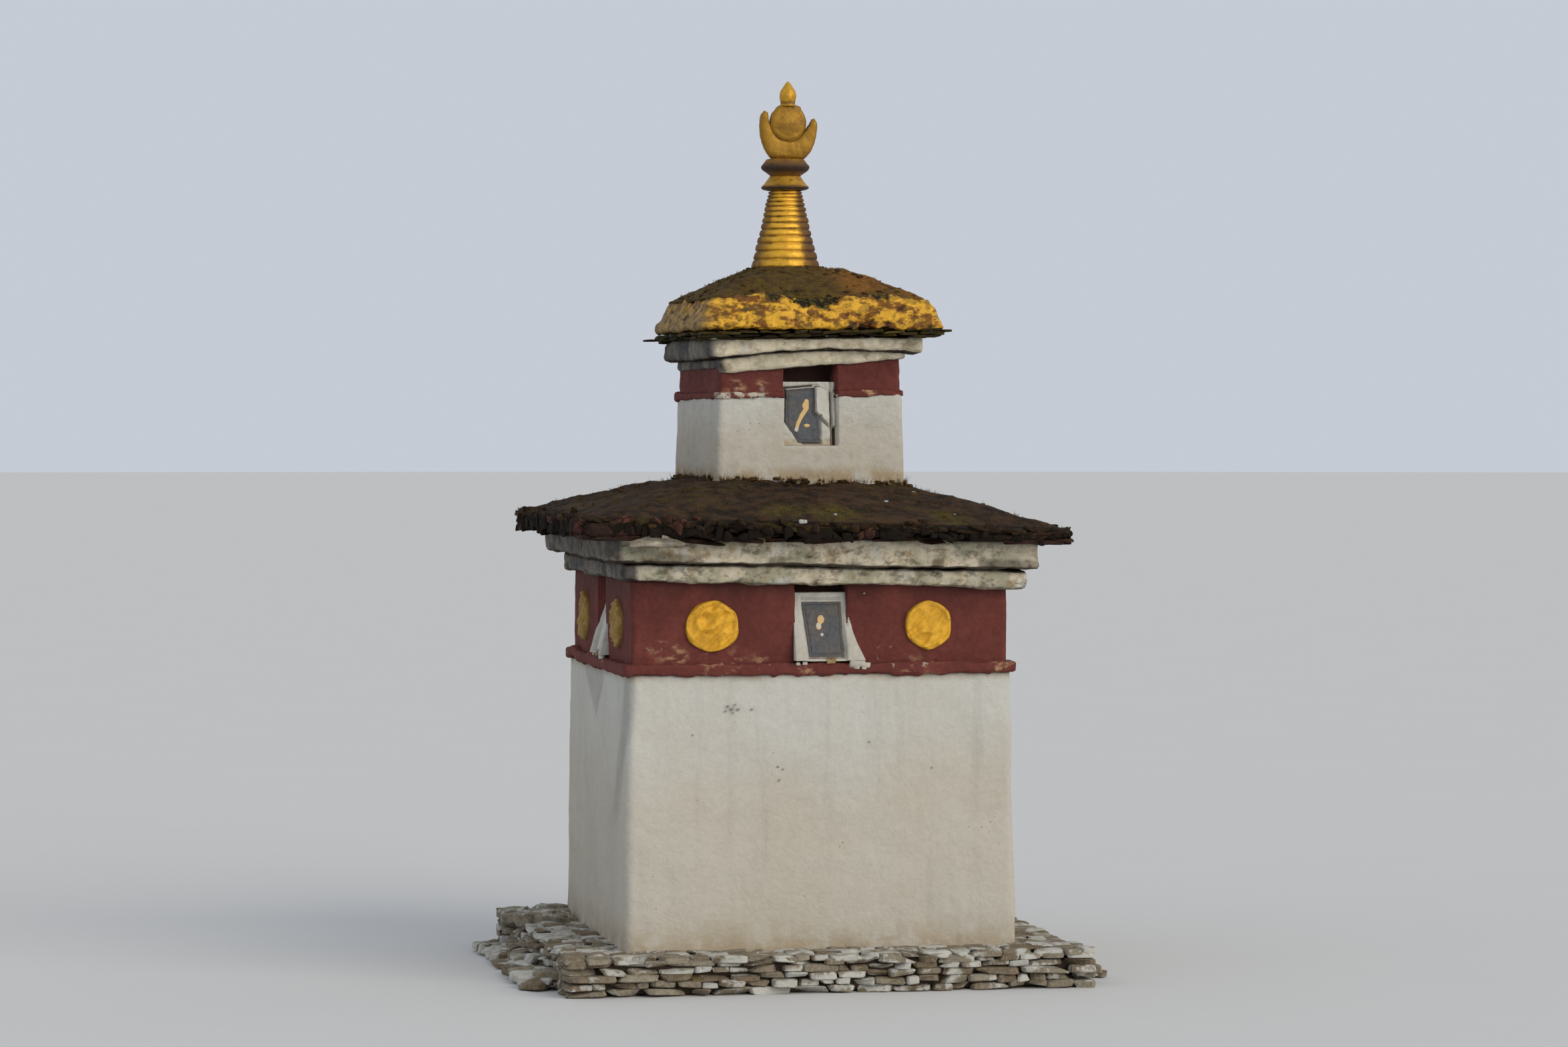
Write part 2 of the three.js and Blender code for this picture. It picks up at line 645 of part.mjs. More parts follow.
// A tapering stack of rings, each lower than the one under it
function ringSpire(z) {
  const heightAt = (share) => SPIRE_HEIGHT * share * (1 + RING_NARROWING * (1 - share));
  const radiusAt = (height) => SPIRE_FOOT_RADIUS
    + ((SPIRE_TOP_RADIUS - SPIRE_FOOT_RADIUS) * height) / SPIRE_HEIGHT;
  const profile = [[0, 0]];
  for (let ring = 0; ring < SPIRE_RINGS; ring += 1) {
    const low = heightAt(ring / SPIRE_RINGS);
    const high = heightAt((ring + 1) / SPIRE_RINGS);
    const bulge = radiusAt((low + high) / 2);
    profile.push(
      [bulge - RING_DEPTH, low],
      [bulge, low + (high - low) * 0.35],
      [bulge, low + (high - low) * 0.75],
    );
  }
  profile.push([SPIRE_TOP_RADIUS - RING_DEPTH, SPIRE_HEIGHT], [0, SPIRE_HEIGHT]);
  return turned(profile, z);
}

// A collar that flares downwards to a thin lip
function lowerCollar(z) {
  const lip = LOWER_COLLAR_HEIGHT * 0.2;
  return turned([
    [0, 0],
    [SPIRE_TOP_RADIUS, 0],
    [COLLAR_FLARE_RADIUS - 6, lip],
    [COLLAR_FLARE_RADIUS, lip + 8],
    [COLLAR_FLARE_RADIUS - 22, lip + 24],
    [COLLAR_NECK_RADIUS + 6, LOWER_COLLAR_HEIGHT * 0.86],
    [COLLAR_NECK_RADIUS, LOWER_COLLAR_HEIGHT],
    [0, LOWER_COLLAR_HEIGHT],
  ], z);
}

// A collar that swells to its widest at half height and narrows to carry the moon
function upperCollar(z) {
  const middle = UPPER_COLLAR_HEIGHT * 0.52;
  return turned([
    [0, 0],
    [COLLAR_NECK_RADIUS, 0],
    [COLLAR_NECK_RADIUS + 10, UPPER_COLLAR_HEIGHT * 0.14],
    [COLLAR_FLARE_RADIUS, middle - 8],
    [COLLAR_FLARE_RADIUS + 2, middle + 8],
    [COLLAR_TOP_RADIUS + 4, UPPER_COLLAR_HEIGHT * 0.84],
    [COLLAR_TOP_RADIUS, UPPER_COLLAR_HEIGHT],
    [0, UPPER_COLLAR_HEIGHT],
  ], z);
}

// A crescent standing on its back: part of an ellipse outside, the seat of the sun inside
function crescentMoon(z) {
  const seat = SUN_RADIUS + SUN_SEAT;
  const footAngle = Math.acos(MOON_FOOT_HALF / MOON_HALF);
  const middle = MOON_DROP * Math.sin(footAngle);
  const hornAngle = (height) => Math.asin((height - middle) / MOON_DROP);
  const right = hornAngle(MOON_RIGHT_HORN);
  const left = hornAngle(MOON_LEFT_HORN);
  const shape = new THREE.Shape();
  shape.moveTo(-MOON_FOOT_HALF, 0);
  shape.lineTo(MOON_FOOT_HALF, 0);
  shape.absellipse(0, middle, MOON_HALF, MOON_DROP, -footAngle, right);
  shape.lineTo(seat, SUN_CENTRE);
  shape.absarc(0, SUN_CENTRE, seat, 0, -Math.PI, true);
  shape.lineTo(-seat - 4, SUN_CENTRE + 60);
  shape.absellipse(0, middle, MOON_HALF, MOON_DROP, Math.PI - left, Math.PI + footAngle);
  return new THREE.ExtrudeGeometry(shape, {
    depth: MOON_THICK, bevelEnabled: false, curveSegments: 16,
  }).translate(0, 0, -MOON_THICK / 2).rotateX(Math.PI / 2).translate(0, 0, z);
}

// A disc thicker at its middle than at its rim, facing front and back
function sunDisc(z) {
  const profile = [
    [0, -SUN_THICK / 2],
    [SUN_RADIUS * 0.6, -SUN_THICK * 0.42],
    [SUN_RADIUS, -SUN_RIM / 2],
    [SUN_RADIUS, SUN_RIM / 2],
    [SUN_RADIUS * 0.6, SUN_THICK * 0.42],
    [0, SUN_THICK / 2],
  ].map(([radius, along]) => new THREE.Vector2(radius, along));
  return new THREE.LatheGeometry(profile, ROUND_SEGMENTS).translate(0, 0, z);
}

function jewel(z) {
  return turned([
    [0, 0],
    [JEWEL_RADIUS * 0.62, 0],
    [JEWEL_RADIUS * 0.56, JEWEL_HEIGHT * 0.09],
    [JEWEL_RADIUS * 0.86, JEWEL_HEIGHT * 0.22],
    [JEWEL_RADIUS, JEWEL_HEIGHT * 0.4],
    [JEWEL_RADIUS * 0.84, JEWEL_HEIGHT * 0.62],
    [JEWEL_RADIUS * 0.45, JEWEL_HEIGHT * 0.84],
    [JEWEL_RADIUS * 0.2, JEWEL_HEIGHT * 0.96],
    [0, JEWEL_HEIGHT],
  ], z);
}

function finial(group, capTop) {
  const spireZ = capTop + JOINT;
  const lowerCollarZ = spireZ + SPIRE_HEIGHT + JOINT;
  const upperCollarZ = lowerCollarZ + LOWER_COLLAR_HEIGHT + JOINT;
  const moonZ = upperCollarZ + UPPER_COLLAR_HEIGHT + JOINT;
  const sunZ = moonZ + SUN_CENTRE;
  group.add(
    node('ring_spire', ringSpire(spireZ), PAINT.gilt),
    node('lower_collar', lowerCollar(lowerCollarZ), PAINT.gilt),
    node('upper_collar', upperCollar(upperCollarZ), PAINT.gilt),
    node('crescent_moon', crescentMoon(moonZ), PAINT.gilt),
    node('sun_disc', sunDisc(sunZ), PAINT.gilt),
    node('jewel', jewel(sunZ + SUN_RADIUS + JOINT), PAINT.gilt),
  );
}

function stupa() {
  const building = new THREE.Group();
  plinth(building);
  lowerStorey(building);
  lowerRoof(building);
  const upper = new THREE.Group();
  upper.rotation.z = UPPER_TURN;
  upper.position.x = UPPER_SHIFT;
  upperStorey(upper);
  finial(upper, upperRoof(upper));
  building.add(upper);
  return building;
}

export default stupa();
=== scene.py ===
"""A square two-storey stupa: limewashed masonry, red bands, turfed slab roofs and a gilt finial.

Metres, +Z up, the front faces -Y, and the origin is on the ground under the middle. Every piece
is a surface worked out with numpy on the sizes of the solid model.
"""
import functools
import math

import bpy
import numpy as np
from bpy.props import FloatProperty, FloatVectorProperty, PointerProperty
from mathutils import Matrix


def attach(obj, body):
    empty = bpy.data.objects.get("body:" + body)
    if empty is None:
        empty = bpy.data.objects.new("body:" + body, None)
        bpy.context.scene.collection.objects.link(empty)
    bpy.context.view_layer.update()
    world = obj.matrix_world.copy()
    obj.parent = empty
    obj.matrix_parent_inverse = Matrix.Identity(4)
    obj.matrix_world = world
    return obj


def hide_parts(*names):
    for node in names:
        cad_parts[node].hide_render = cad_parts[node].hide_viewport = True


bl_info = {
    "name": "Square stupa",
    "version": (1, 0, 0),
    "blender": (4, 5, 0),
    "location": "3D View > Sidebar > Stupa",
    "description": "Builds a square two-storey stupa around its solid model",
    "category": "Add Mesh",
}

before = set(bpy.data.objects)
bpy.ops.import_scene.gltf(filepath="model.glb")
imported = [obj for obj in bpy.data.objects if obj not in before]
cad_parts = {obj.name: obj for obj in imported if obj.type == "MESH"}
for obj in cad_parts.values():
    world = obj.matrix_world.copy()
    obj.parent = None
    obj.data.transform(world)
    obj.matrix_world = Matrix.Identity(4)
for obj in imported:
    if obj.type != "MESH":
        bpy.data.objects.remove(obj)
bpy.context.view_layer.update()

BODY = "root"
SIDES = {"front": 0.0, "right": 90.0, "back": 180.0, "left": -90.0}
FIELDS = ("hollow", "tone", "mark")

# Heights
JOINT = 0.0003
WALL_TOP = 2.1
LEDGE_FOOT = 2.098
LEDGE_TOP = 2.172
BAND_FOOT = 2.12
BAND_TOP = 2.735
CORNICE_FOOT = 2.7
CORNICE_SEAM = 2.827
CORNICE_TOP = 3.03
UPPER_WALL_FOOT = 3.31
UPPER_SILL = 3.632
UPPER_WALL_TOP = 3.985
UPPER_LEDGE_FOOT = 3.962
UPPER_LEDGE_TOP = 4.006
UPPER_BAND_TOP = 4.262
UPPER_CORNICE_FOOT = 4.174
UPPER_CORNICE_SEAM = 4.238
UPPER_CORNICE_TOP = 4.374
RIM_BASE = 4.4243
SPIRE_BASE = 4.8653
MOON_BASE = 5.6282
SUN_HEIGHT = 0.251

# Turns, shifts and falls
UPPER_TURN = math.radians(3.0)
UPPER_SHIFT = 0.028
CAP_TURN = math.radians(-1.5)
CAP_SHIFT = 0.047
RIM_SHIFT = 0.066
SPIRE_SHIFT = -0.02
ROOF_FALL = math.radians(1.6)
BAND_RISE = 0.09
CORNICE_FALL = math.radians(1.35)
TURF_WAVE = 0.016
HIP_DROP = 0.026
JOINT_RISE = 0.02


# Sizes and colours


def length(name, description, default):
    return FloatProperty(name=name, description=description, default=default, min=0.0, unit="LENGTH")


def linear(value):
    """Linear light from a screen value of 0 to 255: the standard screen curve, undone."""
    share = value / 255.0
    return share / 12.92 if share < 0.04045 else ((share + 0.055) / 1.055) ** 2.4


def paint(name, description, red, green, blue):
    return FloatVectorProperty(
        name=name,
        description=description,
        default=(linear(red), linear(green), linear(blue)),
        min=0.0,
        max=1.0,
        size=3,
        subtype="COLOR",
    )


class StupaSizes(bpy.types.PropertyGroup):
    wall_foot: length("Wall foot", "Half width of the lower walls at the ground", 1.346)
    wall_head: length("Wall head", "Half width of the lower walls at their top", 1.315)
    wall_corner: length("Wall corner", "Radius of the plastered corners", 0.055)
    band_half: length("Band", "Half width of the lower red band", 1.288)
    niche_width: length("Niche width", "Width of a niche in the lower band", 0.36)
    niche_depth: length("Niche depth", "Depth of a niche in the lower band", 0.17)
    disc_large: length("Large disc", "Radius of the left gilt disc of a side", 0.175)
    disc_small: length("Small disc", "Radius of the right gilt disc of a side", 0.163)
    eave_half: length("Eave", "Half width of the lower eave slabs", 1.68)
    mound_half: length("Mound", "Half width of the turfed lower roof", 1.64)
    upper_foot: length("Upper foot", "Half width of the upper walls at their foot", 0.664)
    upper_head: length("Upper head", "Half width of the upper walls at their top", 0.655)
    rim_foot: length("Rim foot", "Half width of the gilt rim at its foot", 0.846)
    rim_head: length("Rim head", "Half width of the gilt rim at its top", 0.768)
    spire_foot: length("Spire foot", "Radius of the ringed spire at its foot", 0.236)
    spire_head: length("Spire head", "Radius of the ringed spire at its top", 0.11)
    blade_height: length("Blade height", "Height of the grass blades on the roofs", 0.022)


class StupaColours(bpy.types.PropertyGroup):
    lime_cool: paint("Cool lime", "Clean limewash high on the walls", 194, 193, 185)
    lime_warm: paint("Warm lime", "Older limewash lower down", 184, 176, 161)
    # Also painted light: the cornices get this brighter wash to make up for the shade under their eaves.
    lime_fresh_and_lit: paint("Fresh lime", "Thick creamy limewash under the roofs", 228, 214, 184)
    # Also painted shade: the faces turned to the left are painted with this dark grey.
    lime_damp_and_shade: paint("Damp lime", "Grey limewash on the side that stays damp", 62, 62, 68)
    ochre: paint("Ochre stain", "Earth stain on limewash", 150, 126, 86)
    lichen: paint("Lichen", "Grey-green growth on limewash", 148, 147, 122)
    # Also painted shade: this colour darkens niches, seams, the roof's hanging edge and other places
    # where shade falls.
    grime_and_shade: paint("Grime", "Dark dirt in cracks", 44, 34, 27)
    red_deep: paint("Deep red", "Red wash of the bands", 92, 46, 42)
    red_bright: paint("Bright red", "Fresher red wash on edges", 112, 58, 50)
    scratch: paint("Scratch", "Pale scratches in the red wash", 190, 152, 116)
    gold: paint("Gold", "Gold paint and gilding", 226, 172, 52)
    gold_shade: paint("Worn gold", "Gilding worn to brown", 116, 72, 20)
    gold_brown: paint("Brown gold", "Gilding gone matt and brown", 140, 102, 24)
    # Also painted shade: this colour darkens the left faces of the discs and the rim.
    gold_dull_and_shaded: paint("Dull gold", "Gold paint gone dull and brown", 132, 112, 74)
    slate: paint("Slate", "Carved slate", 88, 92, 96)
    stone_brown: paint("Brown stone", "Earthy rubble", 116, 100, 80)
    stone_grey: paint("Grey stone", "Paler rubble", 158, 149, 131)
    slab: paint("Roof slab", "Dark roofing stone", 31, 23, 16)
    stone_red: paint("Red stone", "Reddish roofing stone", 122, 72, 62)
    turf_earth: paint("Turf earth", "Dry turf and earth", 76, 54, 35)
    turf_moss: paint("Moss", "Olive moss on the turf", 88, 76, 24)
    straw: paint("Straw", "Dead grass and dry moss", 146, 97, 38)
    floor: paint("Floor", "Studio floor", 206, 205, 202)


def placed(name, data):
    """A new object of the scene, with the given mesh, lamp or lens."""
    made = bpy.data.objects.new(name, data)
    bpy.context.scene.collection.objects.link(made)
    return made


# Shapes


def smooth(share):
    """3t^2 - 2t^3, held at 0 and at 1 beyond its ends."""
    share = np.clip(share, 0.0, 1.0)
    return share * share * (3.0 - 2.0 * share)


def between(value, start, end):
    """0 at the start, 1 at the end and smooth() between."""
    return smooth((value - start) / (end - start))


def bell(value, middle, width):
    """1 at the middle, and e to the power of minus the square of the distance over the width."""
    return np.exp(-(((value - middle) / width) ** 2))


def most(*values):
    """The greatest of the values at each point."""
    return functools.reduce(np.maximum, values)


def least(*values):
    """The least of the values at each point."""
    return functools.reduce(np.minimum, values)


def xyz(x, y, z):
    """Points from their coordinates, each one an array or a number."""
    return np.stack(np.broadcast_arrays(x, y, z), axis=-1)


def hashed(cell, seed):
    """A number from 0 to 1 for each whole lattice point: the mixed bits of its coordinates."""
    x, y, z = (cell[..., axis].astype(np.uint64) for axis in range(3))
    bits = x * np.uint64(0x9E3779B97F4A7C15) + y * np.uint64(0xC2B2AE3D27D4EB4F)
    bits = bits + z * np.uint64(0x165667B19E3779F9) + np.uint64(seed * 7919 + 17)
    bits = (bits ^ (bits >> np.uint64(29))) * np.uint64(0xBF58476D1CE4E5B9)
    bits = (bits ^ (bits >> np.uint64(32))) * np.uint64(0x94D049BB133111EB)
    bits = bits ^ (bits >> np.uint64(31))
    return (bits & np.uint64(0xFFFFFF)).astype(float) / 0xFFFFFF


def noise(points, grain, seed):
    """Smooth noise from -1 to 1: the eight lattice numbers round a point, mixed by smooth()."""
    scaled = points / grain
    cell = np.floor(scaled).astype(np.int64)
    share = smooth(scaled - cell)
    total = np.zeros(points.shape[:-1])
    for corner in range(8):
        step = np.array([corner & 1, corner >> 1 & 1, corner >> 2 & 1])
        weight = np.prod(np.where(step, share, 1.0 - share), axis=-1)
        total += weight * hashed(cell + step, seed)
    return 2.0 * total - 1.0


def rough(points, grain, seed, octaves=3):
    """Noise at ever finer grain, each octave half the grain and half the height."""
    return sum(noise(points, grain / 2**k, seed + k) / 2**k for k in range(octaves))


def waver(across, grain, seed):
    """Noise along one line, from -1 to 1."""
    return noise(xyz(across, 0.0, 0.0) + seed * 0.37, grain, seed)


def normals(grid):
    """Unit normals: the cross product of the steps round and up the grid at each point."""
    across = np.roll(grid, -1, axis=1) - np.roll(grid, 1, axis=1)
    normal = np.cross(across, np.gradient(grid, axis=0))
    return normal / most(np.linalg.norm(normal, axis=-1, keepdims=True), 1e-12)


def raised(grid, height):
    """Each point moved along its normal by its height."""
    return grid + normals(grid) * height[..., None]


def worn(grid, layers, seed):
    """Each point raised by the sum of noise layers of (height, grain).
    Gives the grid, and how hollow each point lies, from 0 to 1."""
    shift = sum(h * noise(grid, grain, seed + k) for k, (h, grain) in enumerate(layers))
    deepest = sum(height for height, _ in layers)
    return raised(grid, shift), np.clip(-1.6 * shift / deepest, 0, 1)


def level(points):
    """The points at height 0, so that noise on them is the same all the way up."""
    return points * (1, 1, 0)


def swellings(grid, spots):
    """Round bumps added up: each spot (x, y, z, radius, height) gives its height times a bell of
    the distance from it over its radius."""
    total = np.zeros(grid.shape[:-1])
    for x, y, z, radius, height in spots:
        far = np.linalg.norm(grid - (x, y, z), axis=-1) / radius
        total += height * bell(far, 0.0, 1.0)
    return total


def stepped(corners, step):
    """A path through the given corners, with points about a step apart."""
    path = [np.array([corners[0]], dtype=float)]
    for start, end in zip(corners, corners[1:]):
        count = max(1, math.ceil(math.dist(start, end) / step))
        share = np.linspace(0.0, 1.0, count + 1)[1:, None]
        path.append(np.array(start) * (1.0 - share) + np.array(end) * share)
    return np.concatenate(path)


def eased(path, passes):
    """The path with each inner point moved to a quarter, half, quarter mean of its neighbours."""
    path = path.copy()
    for _ in range(passes):
        path[1:-1] = 0.25 * path[:-2] + 0.5 * path[1:-1] + 0.25 * path[2:]
    return path


def moved(points, angle, shift=0.0):
    """A turn about Z by the angle, then a move along X."""
    cos, sin = np.cos(angle), np.sin(angle)
    x = points[..., 0] * cos - points[..., 1] * sin + shift
    y = points[..., 0] * sin + points[..., 1] * cos
    return xyz(x, y, points[..., 2])


def on_side(points, side):
    """From a side's own frame (across, outward, height) to the building's: a turn about Z."""
    return moved(points * (1, -1, 1), math.radians(SIDES[side]))


def as_upper(points):
    """The upper storey stands a little turned and moved on the lower one."""
    return moved(points, UPPER_TURN, UPPER_SHIFT)


def as_rim(points):
    """The upper roof's slates and rim lie a little turned and moved on the upper storey."""
    return as_upper(moved(points, CAP_TURN, RIM_SHIFT))


def as_cap(points):
    """The upper roof's cap lies turned as its rim is, and moved a little less."""
    return as_upper(moved(points, CAP_TURN, CAP_SHIFT))


def fallen(points):
    """The lower roof is turned about the Y line at the cornice's top, so its +X side falls."""
    cos, sin = math.cos(ROOF_FALL), math.sin(ROOF_FALL)
    rise = points[..., 2] - CORNICE_TOP
    x = points[..., 0] * cos + rise * sin
    z = CORNICE_TOP - points[..., 0] * sin + rise * cos
    return xyz(x, points[..., 1], z)


NICHE_CHEEK = 0.004


class Ring:
    """Once round a square: for each point its place on the unit square, its outward normal,
    and how far it lies in a niche (0 or 1)."""

    def __init__(self, count, corner_steps=4, niche_share=0.0, niche_sides=()):
        core, normal, dent = [], [], []
        arc = np.linspace(0.0, math.pi / 2, corner_steps + 2)[1:-1]
        for side in SIDES:
            places, dents = np.linspace(-1.0, 1.0, count), np.zeros(count)
            if side in niche_sides:
                beside = np.linspace(-1.0, -niche_share, round(count * (1.0 - niche_share) / 2))
                cheek = niche_share - NICHE_CHEEK
                within = np.linspace(-cheek, cheek, round(count * niche_share) + 2)
                places = np.concatenate([beside, within, -beside[::-1]])
                dents = np.concatenate([0 * beside, 0 * within + 1, 0 * beside])
            for x, normal_x, normal_y in (
                (places, 0.0 * places, 1.0), (1.0 + 0.0 * arc, np.sin(arc), np.cos(arc)),
            ):
                core.append(on_side(xyz(x, 1.0, 0.0), side))
                normal.append(on_side(xyz(normal_x, normal_y, 0.0), side))
            dent += [dents, 0.0 * arc]
        self.core = np.concatenate(core)
        self.normal = np.concatenate(normal)
        self.dent = np.concatenate(dent)


def squared(path, ring, corner, niche_depth=0.0, sill=-1.0):
    """A square column: at each path point (half width, height), the unit square times the half
    width less the corner radius, plus the normal times that radius; niches step inwards."""
    half = path[:, 0][:, None, None]
    radius = least(corner, half)
    dent = ring.dent * (path[:, 1][:, None] > sill) * niche_depth
    grid = (half - radius) * ring.core + (radius - dent[..., None]) * ring.normal
    grid[..., 2] = path[:, 1][:, None]
    return grid


def turned(path, segments):
    """A turned shape: each path point (radius, height) carried round the Z axis."""
    angle = np.linspace(0.0, 2 * math.pi, segments, endpoint=False)
    radius = path[:, 0][:, None]
    return xyz(radius * np.cos(angle), radius * np.sin(angle), path[:, 1][:, None])


def stone_template():
    """Points on the surface of a cube of 3 by 3 faces a side, and those faces."""
    index = -np.ones((4, 4, 4), dtype=int)
    cells = np.argwhere(np.any(np.isin(np.indices((4, 4, 4)), (0, 3)), axis=0))
    index[tuple(cells.T)] = np.arange(len(cells))
    points = np.array([-1.0, -0.62, 0.62, 1.0])[cells]
    quads = []
    for axis in range(3):
        for end in (0, 3):
            sheet = np.take(index, end, axis=axis)
            if (end == 0) != (axis == 1):
                sheet = sheet.T
            loop = [sheet[:-1, :-1], sheet[1:, :-1], sheet[1:, 1:], sheet[:-1, 1:]]
            quads.append(np.stack(loop, axis=-1).reshape(-1, 4))
    return points, np.concatenate(quads)


STONE_POINTS, STONE_QUADS = stone_template()


def stones(centre, half, power, dent, seed, yaw=None, tip=None, cuts=0):
    """Many stones at once: the cube's points divided by their power norm, which rounds them, cut
    flat by random planes, stretched to each stone's half sizes, dented by noise, tipped, turned
    and moved."""
    rng = np.random.default_rng(seed)
    unit = STONE_POINTS / np.sum(np.abs(STONE_POINTS) ** power, axis=1, keepdims=True) ** (1 / power)
    unit = np.repeat(unit[None], len(centre), axis=0)
    for _ in range(cuts):
        across = rng.normal(size=(len(centre), 1, 3))
        across = across / np.linalg.norm(across, axis=-1, keepdims=True)
        past = np.sum(unit * across, axis=-1, keepdims=True) - rng.uniform(0.5, 0.85, (len(centre), 1, 1))
        unit = unit - across * most(past, 0.0)
    rocky = rough(unit * 0.9 + centre[:, None] * 13.7, 1.0, seed, 2)
    shape = unit * half[:, None] * (1.0 + dent * rocky[..., None])
    if tip is not None:
        shape[..., 2] += shape[..., 0] * tip[:, :1] + shape[..., 1] * tip[:, 1:]
    if yaw is not None:
        shape = moved(shape, yaw[:, None])
    return shape + centre[:, None]


def row(rng, half, mean):
    """Stones laid end to end from -half to half: their middles and their half lengths."""
    lengths = rng.uniform(0.55, 1.5, max(2, round(2 * half / mean)))
    ends = np.concatenate([[0.0], np.cumsum(lengths)]) / lengths.sum() * 2 * half - half
    return (ends[1:] + ends[:-1]) / 2, np.diff(ends) / 2


def numbered(grid):
    """The number of each point of a grid, row by row."""
    return np.arange(grid.shape[0] * grid.shape[1]).reshape(grid.shape[:2])


def woven(number, after):
    """Faces of four between rows of point numbers and the numbers one step round from them."""
    return np.stack([number[:-1], after[:-1], after[1:], number[1:]], axis=-1).reshape(-1, 4)


class Shell:
    """The parts of one piece: points, faces of four and of three corners, and for each field a
    value at every point."""

    def __init__(self):
        self.points, self.quads, self.tris, self.count = [], [], [], 0
        self.values = {field: [] for field in FIELDS}

    def add(self, points, quads, tris=None, **values):
        points = points.reshape(-1, 3)
        self.points.append(points)
        self.quads.append(quads + self.count)
        if tris is not None:
            self.tris.append(tris + self.count)
        for field, kept in self.values.items():
            kept.append(np.broadcast_to(values.get(field, 0.0), len(points)))
        self.count += len(points)

    def tube(self, grid, **values):
        """A grid that closes round itself, with a pole at each end's mean point."""
        points = np.concatenate([grid.reshape(-1, 3), grid[:1].mean(axis=1), grid[-1:].mean(axis=1)])
        number = numbered(grid)
        after = np.roll(number, -1, axis=1)
        low = np.full(len(number[0]), number.size)
        foot = np.stack([after[0], number[0], low], axis=-1)
        head = np.stack([number[-1], after[-1], low + 1], axis=-1)
        padded = {f: np.append(np.broadcast_to(v, number.shape), [0, 0]) for f, v in values.items()}
        self.add(points, woven(number, after), np.concatenate([foot, head]), **padded)

    def plate(self, grid, back, move, **values):
        """A sheet with a back: its border is carried to where back(points) puts it, and closed
        by a fan round the back's mean point; move() then takes it all to its place."""
        number = numbered(grid)
        quads = woven(number[:, :-1], number[:, 1:])
        border = [number[0, :-1], number[:-1, -1], number[-1, :0:-1], number[:0:-1, 0]]
        border = np.concatenate(border)
        flat = grid.reshape(-1, 3)
        behind = back(flat[border])
        copy = number.size + np.arange(len(border))
        ahead, copied = np.roll(border, -1), np.roll(copy, -1)
        wall = np.stack([ahead, border, copy, copied], axis=-1)
        pole = np.full(len(border), number.size + len(border))
        fan = np.stack([copied, copy, pole], axis=-1)
        points = np.concatenate([flat, behind, behind.mean(axis=0, keepdims=True)])
        padded = {}
        for field, value in values.items():
            full = np.broadcast_to(value, number.shape).ravel()
            padded[field] = np.concatenate([full, full[border], [0.0]])
        self.add(move(points), np.concatenate([quads, wall]), fan, **padded)

    def blocks(self, points, **values):
        """Stones from stones(): the template's faces repeated for each of them."""
        first = np.arange(len(points)) * len(STONE_POINTS)
        quads = (STONE_QUADS[None] + first[:, None, None]).reshape(-1, 4)
        spread = {f: np.repeat(v, len(STONE_POINTS)) for f, v in values.items()}
        self.add(points, quads, **spread)

    def blades(self, base, lean, width, turn, **values):
        """Grass: each blade is a slim three-sided point from its base to base plus lean."""
        angle = turn[:, None] + np.array([0.0, 2.1, 4.2])
        foot = xyz(np.cos(angle), np.sin(angle), np.zeros_like(angle))
        foot = base[:, None] + foot * width[:, None, None]
        points = np.concatenate([foot, (base + lean)[:, None]], axis=1)
        loops = np.array([[0, 1, 3], [1, 2, 3], [2, 0, 3], [2, 1, 0]])
        tris = (loops[None] + 4 * np.arange(len(base))[:, None, None]).reshape(-1, 3)
        spread = {f: np.repeat(v, 4) for f, v in values.items()}
        self.add(points, np.zeros((0, 4), dtype=int), tris, **spread)

    def piece(self, name, material, slot, *replaced, soft=True):
        """The shell as one mesh object with its fields as attributes, riding on the body."""
        points = np.concatenate(self.points)
        quads = np.concatenate(self.quads).reshape(-1, 4)
        tris = np.concatenate(self.tris).reshape(-1, 3) if self.tris else np.zeros((0, 3), dtype=int)
        sizes = np.repeat([4, 3], [len(quads), len(tris)])
        mesh = bpy.data.meshes.new(name)
        mesh.vertices.add(len(points))
        mesh.vertices.foreach_set("co", points.ravel())
        mesh.loops.add(int(sizes.sum()))
        mesh.loops.foreach_set("vertex_index", np.concatenate([quads.ravel(), tris.ravel()]))
        mesh.polygons.add(len(sizes))
        mesh.polygons.foreach_set("loop_start", np.cumsum(sizes) - sizes)
        mesh.polygons.foreach_set("use_smooth", np.full(len(sizes), soft))
        mesh.update(calc_edges=True)
        for field, kept in self.values.items():
            values = np.concatenate(kept)
            if np.any(values):
                data = mesh.attributes.new(field, "FLOAT", "POINT").data
                data.foreach_set("value", values.astype(np.float32))
        mesh.materials.append(material)
        made = placed(name, mesh)
        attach(made, BODY)
        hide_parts(*replaced)


def tube_piece(name, material, slot, node, grid, **values):
    """A piece that is one tube."""
    shell = Shell()
    shell.tube(grid, **values)
    shell.piece(name, material, slot, node)


# Finishes


class Value:
    """A number, vector or colour that changes over a surface; sums on it add Math nodes."""

    def __init__(self, finish, socket):
        self.finish = finish
        self.socket = socket

    def math(self, operation, first, second):
        return self.finish.node("ShaderNodeMath", {"operation": operation}, {0: first, 1: second})

    def __add__(self, other):
        return self.math("ADD", self, other)

    def __sub__(self, other):
        return self.math("SUBTRACT", self, other)

    def __rsub__(self, other):
        return self.math("SUBTRACT", other, self)

    def __mul__(self, other):
        return self.math("MULTIPLY", self, other)

    def between(self, low, high):
        """0 at low, 1 at high and a smooth step between."""
        settings = {"interpolation_type": "SMOOTHSTEP"}
        return self.finish.node("ShaderNodeMapRange", settings, {0: self, 1: low, 2: high})

    def near(self, level, width):
        """1 where the value is the level, falling to 0 a width away."""
        return 1.0 - self.math("ABSOLUTE", self - level, 0.0).between(0.0, width)


